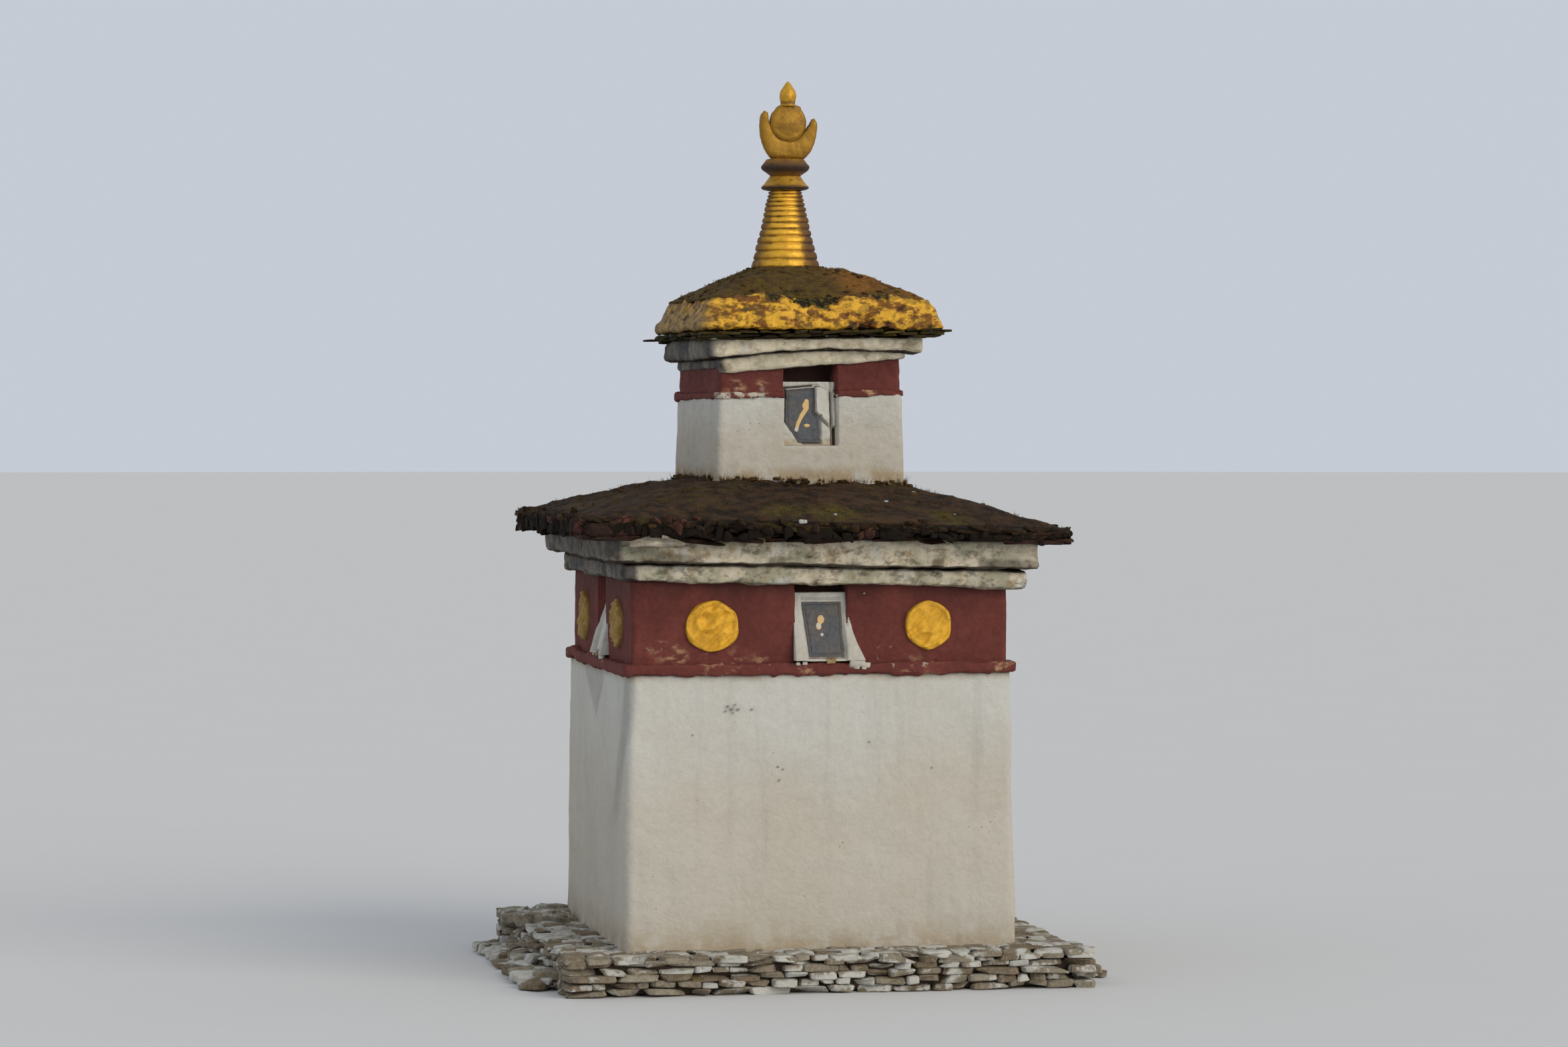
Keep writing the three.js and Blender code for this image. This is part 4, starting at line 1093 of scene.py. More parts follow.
class STUPA_OT_niches(StupaOperator, bpy.types.Operator):
    """Set a plaster bed and a carved slate in each niche of the lower band"""

    bl_idname = "stupa.niches"
    bl_label = "Niches"

    def build(self, sizes, paints):
        plaster = limewash(paints, "Niche plaster", 1.6, 2.5, weather=0.08)
        slate = carved_slate(paints, "Carved slate")
        for index, side in enumerate(SIDES):
            self.bed(sizes, side, index, plaster)
            self.slate(side, index, slate)

    def bed(self, sizes, side, index, material):
        """A leaning sheet of plaster: a margin round the slate, a thin lip at its head over a gap
        painted dark as shade, and a splay that swings out over the band on its right and drips over
        the ledge."""
        half = sizes.niche_width / 2
        rise = np.linspace(0.0, 1.0, 68)[:, None]
        share = np.linspace(0.0, 1.0, 62)[None]
        along = rise * BED_LENGTH + 0 * share
        right = half + 0.118 * (1.0 - rise) ** 2.0 + 0.006 * waver(rise * 3, 0.4, index)
        left = -half - 0.004
        across = left + (right - left) * share
        slate_left, slate_right = slate_edges(np.clip((along - SLATE_FOOT) / SLATE_HEIGHT, 0, 1))
        sides = least(across - SLATE_SHIFT - slate_left, slate_right + SLATE_SHIFT - across)
        over_head = along - SLATE_FOOT - SLATE_HEIGHT
        inside = least(sides, along - SLATE_FOOT, -over_head)
        above = between(over_head, 0.004, 0.01) * between(sides, -0.02, 0.0)
        sag = 0.454 - 0.01 * (1.0 - (across / half) ** 2) + 0.003 * waver(across * 5, 0.4, 5 + index)
        lip = smooth((along - sag) / 0.004)
        lump = 0.016 * smooth(-inside / 0.02) - 0.012 * smooth(inside / 0.01)
        lump = lump + 0.018 * smooth(-(sides + 0.004) / 0.02) * between(along, 0.36, 0.06)
        lump = lump - 0.006 * above * (1.0 - lip) + 0.006 * lip
        grid = on_slope(BED_FOOT, BED_LEAN, across, along, lump)
        grid[..., 1] += 0.005 * rough(grid, 0.05, 60 + index)
        edge = least(share, 1.0 - share)
        over = sizes.band_half + 0.014 * between(edge, 0.0, 0.05) + 0.02 * between(along, 0.1, 0.0)
        proud = half + 0.007
        grid[..., 1] = np.where(across > proud, most(grid[..., 1], over), grid[..., 1])
        inner = sizes.band_half - sizes.niche_depth + 0.01

        def back(points):
            depth = np.where(points[:, 0] > proud, sizes.band_half - 0.02, inner)
            return xyz(points[:, 0], depth, points[:, 2])

        def place(points):
            return in_niche(points, side)

        shell = Shell()
        muddy = spot(across, along, (0.06, 0.012), (0.04, 0.024))
        # Painted shade: the gap under the lip is painted dark.
        shell.plate(grid, back, place, hollow=0.5 * above * (1.0 - lip), mark=2.5 * muddy)
        flecks(shell, [
            (0.215, 1.352, 2.168, 0.036), (0.262, 1.352, 2.172, 0.034),
            (0.305, 1.351, 2.16, 0.026), (0.236, 1.353, 2.148, 0.022),
            (0.286, 1.352, 2.142, 0.018), (-0.12, 1.352, 2.176, 0.018),
            (-0.165, 1.35, 2.172, 0.016),
        ], 90 + index, place)
        flecks(shell, [(0.05, 1.356, 2.184, 0.022), (0.075, 1.356, 2.18, 0.016)], 95, place, mark=2.5)
        shell.piece(f"niche_plaster_{side}", material, "whitewash", f"niche_bed_{side}")

    def slate(self, side, index, material):
        """A slate with a low relief: an incised border, an oval glory round a flaming jewel, and a
        row of petals at its foot. The left side's slate is limed over."""
        rise = np.linspace(0.0, 1.0, 80)[:, None]
        share = np.linspace(0.0, 1.0, 62)[None]
        left, right = slate_edges(rise)
        left = left + 0.003 * waver(rise * 5, 0.5, 3 + index)
        right = right + 0.003 * waver(rise * 5, 0.5, 9 + index)
        across = left + (right - left) * share
        along = SLATE_FOOT + SLATE_HEIGHT * rise + 0 * share
        margin = least(across - left, right - across)
        margin = least(margin, SLATE_HEIGHT * least(rise, 1 - rise))
        border = bell(margin, 0.02, 0.004)
        centre = (-0.012, SLATE_FOOT + 0.225)
        oval = np.hypot((across - centre[0]) / 0.078, (along - centre[1]) / 0.112)
        glory = bell(oval, 1.0, 0.09)
        rays = 0.5 + 0.5 * np.cos(14 * np.arctan2(along - centre[1], across - centre[0]))
        rays = rays * bell(oval, 0.8, 0.16)
        up = along - SLATE_FOOT
        petal = np.abs(np.sin((across + 0.01) * 70.0)) * between(up, 0.045, 0.055)
        petal = petal * between(up, 0.085, 0.073) * between(margin, 0.024, 0.03)
        ragged = 1.0 + 0.4 * rough(xyz(across, along, index), 0.028, 66)
        jewel = spot(across, along, (-0.006, 0.29), (0.027, 0.036)) * ragged
        tail = spot(across, along, (-0.022, 0.246), (0.021, 0.03)) * ragged
        foot = spot(across, along, (-0.002, 0.186), (0.013, 0.014))
        edge = between(margin, 0.0, 0.008)
        lift = 0.003 * edge - 0.0025 * border + 0.0035 * glory + 0.002 * rays + 0.004 * petal
        lift = lift + 0.006 * jewel + 0.004 * most(tail, foot)
        grid = on_slope(BED_FOOT, BED_LEAN, across + SLATE_SHIFT, along, 0.004 + lift)
        grid[..., 1] += 0.0015 * rough(grid, 0.03, 70 + index)
        gold = most(jewel, tail)
        chipped = 0.62 * between(margin, 0.006, 0.0)
        lime = most(0.85 * foot, 0.5 * tail, 0.42 * jewel, chipped)
        if side == "left":
            lime = most(lime, 0.8)
        shell = Shell()
        shell.plate(
            grid,
            lambda p: p - np.array([0.0, 0.024, 0.004]),
            lambda p: in_niche(p, side),
            hollow=0.7 * border + 0.5 * (1 - edge),
            mark=gold,
            tone=lime,
        )
        shell.piece(f"slate_{side}", material, "carved_slate", f"niche_slate_{side}")


DISC_ACROSS = 0.742
DISC_HEIGHT = 2.425


class STUPA_OT_discs(StupaOperator, bpy.types.Operator):
    """Press the gilt clay discs on the lower band, two a side"""

    bl_idname = "stupa.discs"
    bl_label = "Gilt discs"

    def build(self, sizes, paints):
        material = gilt_clay(paints, "Gilt clay discs", age=0.1)
        for index, side in enumerate(SIDES):
            for letter, sign, radius in (("a", -1, sizes.disc_large), ("b", 1, sizes.disc_small)):
                middle = (sign * DISC_ACROSS, sizes.band_half, DISC_HEIGHT)
                self.disc(side, letter, middle, radius, 10 * index + sign, material)

    def disc(self, side, letter, middle, radius, seed, material):
        """A turned profile with a low rim, pressed by hand: its outline is a third of the way
        from a circle to an octagon or a hexagon, and its face has broad slanting wrinkles, painted
        darker in their low parts and along the rim as shade."""
        path = eased(stepped([
            (radius, -0.012),
            (radius, 0.014),
            (radius * 0.96, 0.026),
            (radius * 0.85, 0.025),
            (radius * 0.77, 0.018),
            (radius * 0.4, 0.021),
            (radius * 0.02, 0.024),
        ], 0.006), 1)
        grid = turned(path, 84)
        angle = np.arctan2(grid[..., 1], grid[..., 0])
        corners, turn, wide, tall = (8, 0.2, 1.04, 0.98) if letter == "a" else (6, 0.52, 0.98, 1.02)
        wedge = 2 * math.pi / corners
        flat = math.cos(wedge / 2) / np.cos((angle + turn) % wedge - wedge / 2)
        outline = 0.72 + 0.3 * flat + 0.034 * waver((angle + 4.0) * 1.4, 0.7, 20 + seed)
        grid[..., :2] *= outline[..., None] * (wide, tall)
        share = np.hypot(grid[..., 0], grid[..., 1]) / radius
        slant = xyz((grid[..., 0] + grid[..., 1]) * 0.45, grid[..., 0] - grid[..., 1], seed)
        ridge = 1.0 - 2.8 * np.abs(noise(slant, 0.064, 30 + seed))
        lump = 0.018 * ridge + 0.01 * noise(slant, 0.042, 50 + seed)
        lump = lump * between(share, 1.0, 0.94) + 0.0015 * noise(grid + seed, 0.02, 60 + seed)
        grid[..., 2] += most(lump, -0.009) * (grid[..., 2] > 0.01)
        # Painted shade: the low parts of the wrinkles and the rim's edge are painted darker.
        hollow = np.clip(0.18 - lump * 14.0, 0, 0.5) + 0.2 * between(share, 0.95, 1.0)
        tube_piece(
            f"disc_{side}_{letter}", material, "gilt_clay", f"gilt_disc_{side}_{letter}",
            on_side(grid[..., [0, 2, 1]] + middle, side), hollow=np.clip(hollow, 0, 1),
            # Painted shade, partly: the discs on the left side are painted duller and darker.
            tone=0.75 if side == "left" else 0.0,
        )


CORNICE_LAYERS = [(0.012, 0.22), (0.007, 0.08), (0.004, 0.032)]
CORNICE_SLOPE = -math.tan(CORNICE_FALL)
ROOF_SLOPE = -math.tan(ROOF_FALL)


class STUPA_OT_cornice(StupaOperator, bpy.types.Operator):
    """Lay the two limewashed courses of the lower cornice"""

    bl_idname = "stupa.cornice"
    bl_label = "Lower cornice"

    def build(self, sizes, paints):
        material = limewash(paints, "Weathered limewash", 2.4, 3.2, weather=0.75, fresh_and_lit=0.6)
        ring = Ring(148, 5)
        # Painted shade, partly: the faces turned to the left, and the front's left corner, are painted
        # dark grey as well as wet-stained.
        damp_and_shade = 0.95 * most(-ring.normal[:, 0], between(ring.core[:, 0], -0.957, -0.987))
        self.lower_course(material, ring, damp_and_shade)
        self.upper_course(material, ring, damp_and_shade)

    def lower_course(self, material, ring, damp_and_shade):
        """The narrower course, bitten along its foot, and darker along both its seams: soiling and
        painted shade.
        """
        grid, hollow, share = course(
            1.385, CORNICE_FOOT + JOINT, CORNICE_SEAM, ring, CORNICE_LAYERS, inner=1.2,
            seeds=(11, 13), bend=0.006, shift=0.03, slopes=(CORNICE_SLOPE, CORNICE_SLOPE),
        )
        bites = swellings(grid, [
            (-1.3, -1.36, 2.73, 0.035, 0.02), (-0.45, -1.39, 2.71, 0.03, 0.012),
            (0.42, -1.39, 2.7, 0.03, 0.012), (1.02, -1.39, 2.68, 0.03, 0.01),
        ])
        grid = raised(grid, -bites)
        seam = 0.8 + 0.2 * noise(grid, 0.06, 17)
        # Painted shade, partly: the seams are darker, soiled and shaded under the course above.
        dirt_and_shade = most(between(share, 0.74, 0.88), between(share, 0.16, 0.04) * 0.8) * seam
        dirt_and_shade = most(dirt_and_shade * 0.9, hollow * 0.5, np.clip(bites * 40.0, 0, 1))
        tube_piece(
            "cornice_lower", material, "whitewash", "cornice_lower_course", grid, hollow=dirt_and_shade, tone=damp_and_shade,
        )

    def upper_course(self, material, ring, damp_and_shade):
        """The wider course, lumpy under the eaves, with a heap of lime on the front's left end."""
        grid, hollow, share = course(
            1.476, CORNICE_SEAM + JOINT, CORNICE_TOP, ring, CORNICE_LAYERS, inner=1.33,
            seeds=(13, 15), bend=0.006, slopes=(CORNICE_SLOPE, ROOF_SLOPE),
        )
        lumps = swellings(grid, [
            (-1.45, -1.45, 2.92, 0.05, -0.016), (-1.02, -1.48, 3.03, 0.08, 0.02),
            (-0.2, -1.49, 2.87, 0.05, -0.012), (0.05, -1.49, 2.86, 0.05, -0.012),
            (0.75, -1.49, 2.84, 0.06, -0.01), (1.44, -1.44, 2.93, 0.07, -0.012),
        ])
        grid = raised(grid, lumps)
        dirty = 0.62 * between(share, 0.55, 0.25) * smooth(0.5 + 1.2 * noise(grid, 0.11, 19))
        dents = np.clip(-lumps * 45.0, 0, 0.9)
        shell = Shell()
        shell.tube(
            # Painted shade, partly: the foot of the course is painted dark along the seam.
            grid, hollow=most(between(share, 0.12, 0.03) * 0.95, hollow * 0.4, dirty, dents), tone=damp_and_shade,
        )
        path = stepped([(0.02, 0.0), (0.98, 0.0), (0.8, 0.22), (0.3, 0.66), (0.02, 1.0)], 0.06)
        heap = turned(path, 36) * (0.24, 0.115, 0.105) + (-1.185, -1.635, 2.972)
        heap, hollow = worn(heap, [(0.01, 0.08), (0.005, 0.03)], 14)
        # Painted shade: the heap is painted a little dark all over, and darker at its foot.
        shell.tube(heap, hollow=0.4 + 0.3 * hollow + 8.0 * most(3.01 - heap[..., 2], 0.0))
        shell.piece("cornice_upper", material, "whitewash", "cornice_upper_course")


def hung(points):
    """The edge of the lower roof: fallen(), and its underside hangs lower towards the left."""
    drop = 0.004 + 0.04 * between(points[..., 0], 1.1, -1.1)
    drop = drop * between(points[..., 2], 3.08, 3.03)
    return fallen(points) - drop[..., None] * (0, 0, 1)


def mound_path(half, top_half, low, rim, top, swell, inner, tuck):
    """A roof's section: in under the edge, round the rim, then a slope that swells by a half
    sine, and in under what stands on it."""
    share = np.linspace(0.0, 1.0, 9)
    slope = list(zip(
        half + (top_half - half) * share,
        rim + (top - rim) * share + swell * np.sin(math.pi * share),
    ))
    middle = low + 0.5 * (rim - low)
    edge = [(half - tuck, low + 0.012), (half - 0.02, low)]
    face = [(half + 0.012, middle - 0.01), (half + 0.014, middle)]
    return edge + face + slope + [(inner, top)]


def grow(shell, rng, grid, blades, cushions, height, size, mark):
    """Grass and moss on a grid: tufts of blades from random grid points, leaning as they like,
    and low cushions set among them."""
    rows, columns = grid.shape[:2]
    out = normals(grid)
    at = (rng.integers(3, rows - 3, blades // 8), rng.integers(0, columns, blades // 8))
    centre = np.repeat(grid[at], 8, axis=0)
    base = centre + rng.normal(0.0, 0.01, (len(centre), 3)) * (1, 1, 0.25)
    tall = height * rng.uniform(0.35, 1.2, len(base))
    lean = np.repeat(out[at], 8, axis=0) * 0.35 + np.array([0.0, 0.0, 0.75])
    lean = (lean + rng.normal(0.0, 0.45, lean.shape)) * tall[:, None]
    width = 0.002 + 0.0014 * rng.random(len(base))
    shell.blades(
        base - lean * 0.3, lean * 1.3, width, rng.uniform(0, 6, len(base)),
        tone=rng.random(len(base)), mark=mark * rng.random(len(base)),
    )
    at = (rng.integers(0, rows, cushions), rng.integers(0, columns, cushions))
    half = rng.uniform(0.4, 1.2, cushions)[:, None] * size * np.array([1.0, 1.0, 0.5])
    points = stones(grid[at], half, 2.2, 0.3, 5, rng.uniform(-3, 3, cushions))
    shell.blocks(points, tone=0.2 * rng.random(cushions), mark=mark * rng.random(cushions))


class STUPA_OT_lower_roof(StupaOperator, bpy.types.Operator):
    """Lay the eave slabs and heap the turfed mound of the lower roof"""

    bl_idname = "stupa.lower_roof"
    bl_label = "Lower roof"

    def build(self, sizes, paints):
        slab = field_stone(
            paints, "Eave slabs", paints.slab, paints.stone_red, lime_share=0.1, moss_share=0.3,
        )
        self.eaves(sizes, slab)
        self.mound(sizes, turf(paints, "Roof turf"))

    def eaves(self, sizes, material):
        """Three courses of slabs a side, and clusters of red stones on the front and the left."""
        for index, side in enumerate(SIDES):
            rng = np.random.default_rng(20 + index)
            shell = Shell()
            for mean, out, low, high in (
                (0.26, sizes.eave_half - 0.055, 3.014, 3.048),
                (0.2, sizes.eave_half - 0.02, 3.042, 3.072),
                (0.17, sizes.eave_half - 0.004, 3.066, 3.096),
            ):
                stone_row(
                    rng, shell, side, sizes.eave_half - 0.01, mean, out, low, high, depth=0.44,
                    power=6.0, ragged=0.055, move=hung, tone=0.1,
                )
            if side in ("front", "left"):
                self.clusters(rng, shell, side)
            shell.piece(f"eaves_{side}", material, "roof_slab", f"eave_slabs_{side}", soft=False)

    def clusters(self, rng, shell, side):
        """Small red stones gathered round three places of the edge."""
        heart = np.repeat([-1.42, -1.02, 0.24] if side == "front" else [1.52, 1.4, 0.2], [9, 11, 3])
        count = len(heart)
        spread = rng.normal(0.0, 1.0, (count, 3)) * (0.055, 0.004, 0.016)
        centre = xyz(heart, 1.664, 3.116 - 0.05 * (heart > 0)) + spread
        half = rng.uniform(0.018, 0.042, (count, 1)) * (1.0, 0.7, 0.55)
        tip = rng.normal(0.0, 0.3, (count, 2))
        points = stones(centre, half, 2.0, 0.5, 12, rng.normal(0, 0.5, count), tip, cuts=1)
        shell.blocks(
            hung(on_side(points, side)), tone=rng.uniform(0.1, 0.75, count),
            mark=0.25 * rng.random(count),
        )

    def mound(self, sizes, material):
        """Turf on a square mound: long waves, hips that fall, an edge that bulges and hangs, and
        grass, cushions, sods and pebbles on it. Its hanging edge is painted near-black as shade."""
        half = sizes.mound_half
        path = stepped(mound_path(
            half, top_half=0.56, low=3.06, rim=3.128, top=3.412, swell=0.022, inner=0.3, tuck=0.2,
        ), 0.025)
        ring = Ring(116, 5)
        grid = squared(path, ring, 0.07)
        x, y, z = (grid[..., axis] for axis in range(3))
        out = most(np.abs(x), np.abs(y), 1e-6)
        on_top = between(z, 3.115, 3.127)
        share = between(out, half, half - 0.25)
        wave = 0.6 * np.sin(x / 0.15 + 1) * np.cos(y / 0.165 + 0.4) + 0.4 * np.sin((x + y) / 0.21 + 2)
        hip = least(np.abs(x), np.abs(y)) / out
        z += on_top * (TURF_WAVE * (0.4 + 0.6 * share) * wave - HIP_DROP * hip * hip)
        edge = between(out, half - 0.09, half - 0.01)
        tips = between(hip, 0.86, 1.0) * edge
        plan = level(grid)
        bulge = 0.017 * noise(plan, 0.21, 44) + 0.011 * noise(grid, 0.07, 45)
        grid[..., :2] *= (1.0 + edge * (1.0 - tips) * bulge / half)[..., None]
        hang = most(noise(plan, 0.19, 46) + 0.4 * noise(plan, 0.06, 47), -0.3)
        under = np.clip((3.118 - z) / 0.055, 0, 1) * edge
        grid[..., 2] -= under * (0.03 * hang * (1.0 - tips) - 0.012 * tips)
        grid, hollow = worn(grid, [(0.01, 0.26), (0.008, 0.09), (0.006, 0.038), (0.003, 0.02)], 21)
        # Painted shade: the underside of the edge, where it hangs, is painted near-black.
        dark = between(grid[..., 2], 3.14, 3.115) * (1.0 - 0.7 * tips)
        grid = fallen(grid)
        right = between(grid[..., 0], -0.6, 0.6)
        front = between(out, 1.05, 1.4)
        moss = 0.05 + 0.12 * front * (0.4 + 0.6 * right) + 0.25 * noise(plan, 0.5, 48)
        moss = moss + swellings(grid, [
            (-0.3, -1.44, 3.19, 0.13, 0.5), (0.06, -1.46, 3.18, 0.15, 0.5),
            (0.9, -1.48, 3.16, 0.17, 0.5),
        ])
        shell = Shell()
        shell.tube(grid, hollow=most(hollow * 0.8, dark), mark=np.clip(moss, 0, 1))
        rng = np.random.default_rng(6)
        slope = path[:, 1] > 3.14
        grow(shell, rng, grid[slope], 3000, 50, sizes.blade_height, size=0.03, mark=0.4)
        rim = (path[:, 0] > half - 0.05) & (path[:, 1] > 3.07)
        grow(shell, rng, grid[rim], 720, 120, sizes.blade_height * 0.8, size=0.034, mark=0.3)
        self.sods(rng, shell)
        pebble = np.array([
            [-0.196, -1.655, 3.132, 0.024], [0.059, -1.5, 3.176, 0.012],
            [0.472, -1.2, 3.256, 0.012], [0.733, -0.88, 3.313, 0.014],
            [0.9, -1.4, 3.17, 0.009],
        ])
        points = stones(pebble[:, :3], pebble[:, 3:] * (1.3, 1.0, 0.7), 2.4, 0.3, 9)
        shell.blocks(points, tone=np.full(len(pebble), 1.6))
        path = np.array([(0.69, 3.372), (0.675, 3.385), (0.665, 3.395)])
        foot = as_upper(squared(path, Ring(90, 4), 0.05))
        foot = np.concatenate([foot, foot + (0, 0, 0.004), foot + (0, 0, 0.008)])
        grow(shell, rng, fallen(foot), 2000, 90, sizes.blade_height * 1.6, size=0.026, mark=0.7)
        shell.piece("turf_mound", material, "turf", "roof_mound")

    def sods(self, rng, shell):
        """Two uneven rows of dark sods a side, hanging over the edges of the eave slabs; the lower row is
        painted near-black as the shade under the edge.
        """
        for side in SIDES:
            # Painted shade: a hollow of one paints the lower row near-black.
            for height, size, hollow in ((3.1, 0.028, 0.45), (3.062, 0.034, 1.0)):
                middle, length_half = row(rng, 1.62, 0.065)
                count = len(middle)
                slim = 1.0 - 0.5 * between(np.abs(middle), 1.35, 1.6)
                out = 1.64 + 0.022 * rng.random(count)
                lift = height + 0.012 * rng.normal(size=count)
                centre = xyz(middle, out, lift)
                half = xyz(
                    length_half * rng.uniform(1.1, 2.2, count),
                    rng.uniform(0.022, 0.04, count) * slim,
                    size * rng.uniform(0.4, 1.1, count) * slim,
                )
                tip = rng.normal(0.0, 0.22, (count, 2))
                seed = int(rng.integers(1000))
                points = stones(centre, half, 2.0, 0.5, seed, rng.normal(0, 0.3, count), tip)
                shell.blocks(
                    hung(on_side(points, side)), hollow=hollow * rng.uniform(0.8, 1.1, count),
                    mark=0.4 * rng.random(count),
                )


UPPER_NICHE_HALF = 0.19
UPPER_NICHE_DEPTH = 0.19


class STUPA_OT_upper_storey(StupaOperator, bpy.types.Operator):
    """Build the small upper walls, their red ledge and band"""

    bl_idname = "stupa.upper_storey"
    bl_label = "Upper storey"

    def build(self, sizes, paints):
        red = red_wash(paints, "Upper red wash", 3.95, 4.26)
        self.walls(sizes, limewash(paints, "Upper limewash", 3.2, 4.0, weather=0.1))
        self.ledge(red)
        self.band(red)

    def walls(self, sizes, white):
        """Leaning walls with a niche in front that starts at the sill, ochre at their foot."""
        ring = Ring(76, 5, UPPER_NICHE_HALF / (sizes.upper_head - 0.045), ("front",))
        lower = stepped([(sizes.upper_foot, UPPER_WALL_FOOT), (0.66, UPPER_SILL)], 0.02)
        upper = stepped([(0.66, UPPER_SILL + 0.003), (sizes.upper_head, UPPER_WALL_TOP)], 0.02)
        grid = squared(np.concatenate([lower, upper]), ring, 0.045, UPPER_NICHE_DEPTH, UPPER_SILL)
        grid, hollow = worn(grid, [(0.007, 0.3), (0.004, 0.11), (0.002, 0.04)], 33)
        # Painted shade: the inside of the niche is painted dark.
        inside = ring.dent * (grid[..., 2] > UPPER_SILL + 0.006)
        stain = between(grid[..., 2], 3.52, 3.42) * 0.9
        tube_piece(
            "upper_walls", white, "whitewash", "upper_body", as_upper(grid),
            hollow=most(hollow * 0.15, inside), mark=stain,
        )

    def ledge(self, red):
        """A thin course, cut by the niche, with its wash flaked off left of it."""
        half = 0.669
        layers = [(0.006, 0.12), (0.005, 0.045), (0.003, 0.02)]
        ring = Ring(102, 5, UPPER_NICHE_HALF / (half - 0.05), ("front",))
        grid, hollow, _ = course(
            half, UPPER_LEDGE_FOOT, UPPER_LEDGE_TOP, ring, layers, inner=0.56, seeds=(24, 26),
            bend=0.007, slopes=(0.02, 0.01), depth=0.11,
        )
        grid = as_upper(grid)
        lumps = [(-0.66, 0.6, 3.98, 0.1, 0.008), (0.7, -0.64, 3.99, 0.1, -0.012)]
        grid = raised(grid, swellings(grid, lumps))
        flaked = swellings(grid, [
            (-0.58, -0.68, 4.0, 0.11, 1.25), (-0.44, -0.68, 4.0, 0.1, 1.2),
            (-0.3, -0.68, 4.0, 0.09, 1.2), (0.45, -0.64, 4.0, 0.08, 0.8),
        ])
        tube_piece(
            "upper_ledge", red, "red_wash", "upper_string_course", grid, hollow=hollow * 0.6, mark=flaked,
        )

    def band(self, red):
        """The wall between ledge and cornice, dark in its niche and flaked near its foot."""
        ring = Ring(86, 3, UPPER_NICHE_HALF / (0.632 - 0.025), ("front",))
        path = stepped([(0.636, 3.97), (0.633, UPPER_BAND_TOP)], 0.017)
        layers = [(0.008, 0.12), (0.005, 0.05), (0.003, 0.02)]
        grid, hollow = worn(squared(path, ring, 0.025, UPPER_NICHE_DEPTH), layers, 35)
        grid = as_upper(grid)
        flaked = swellings(grid, [
            (-0.62, -0.66, 4.02, 0.07, 0.9), (-0.46, -0.65, 4.02, 0.07, 0.9),
            (-0.28, -0.65, 4.02, 0.07, 0.9),
        ])
        tube_piece(
            "upper_band_wall", red, "red_wash", "upper_red_band", grid,
            # Painted shade: the inside of the niche is painted dark.
            hollow=most(hollow * 0.5, ring.dent * 0.9), mark=flaked,
        )


UPPER_FOOT = (0.621, 3.644)
UPPER_LEAN = math.radians(7.0)


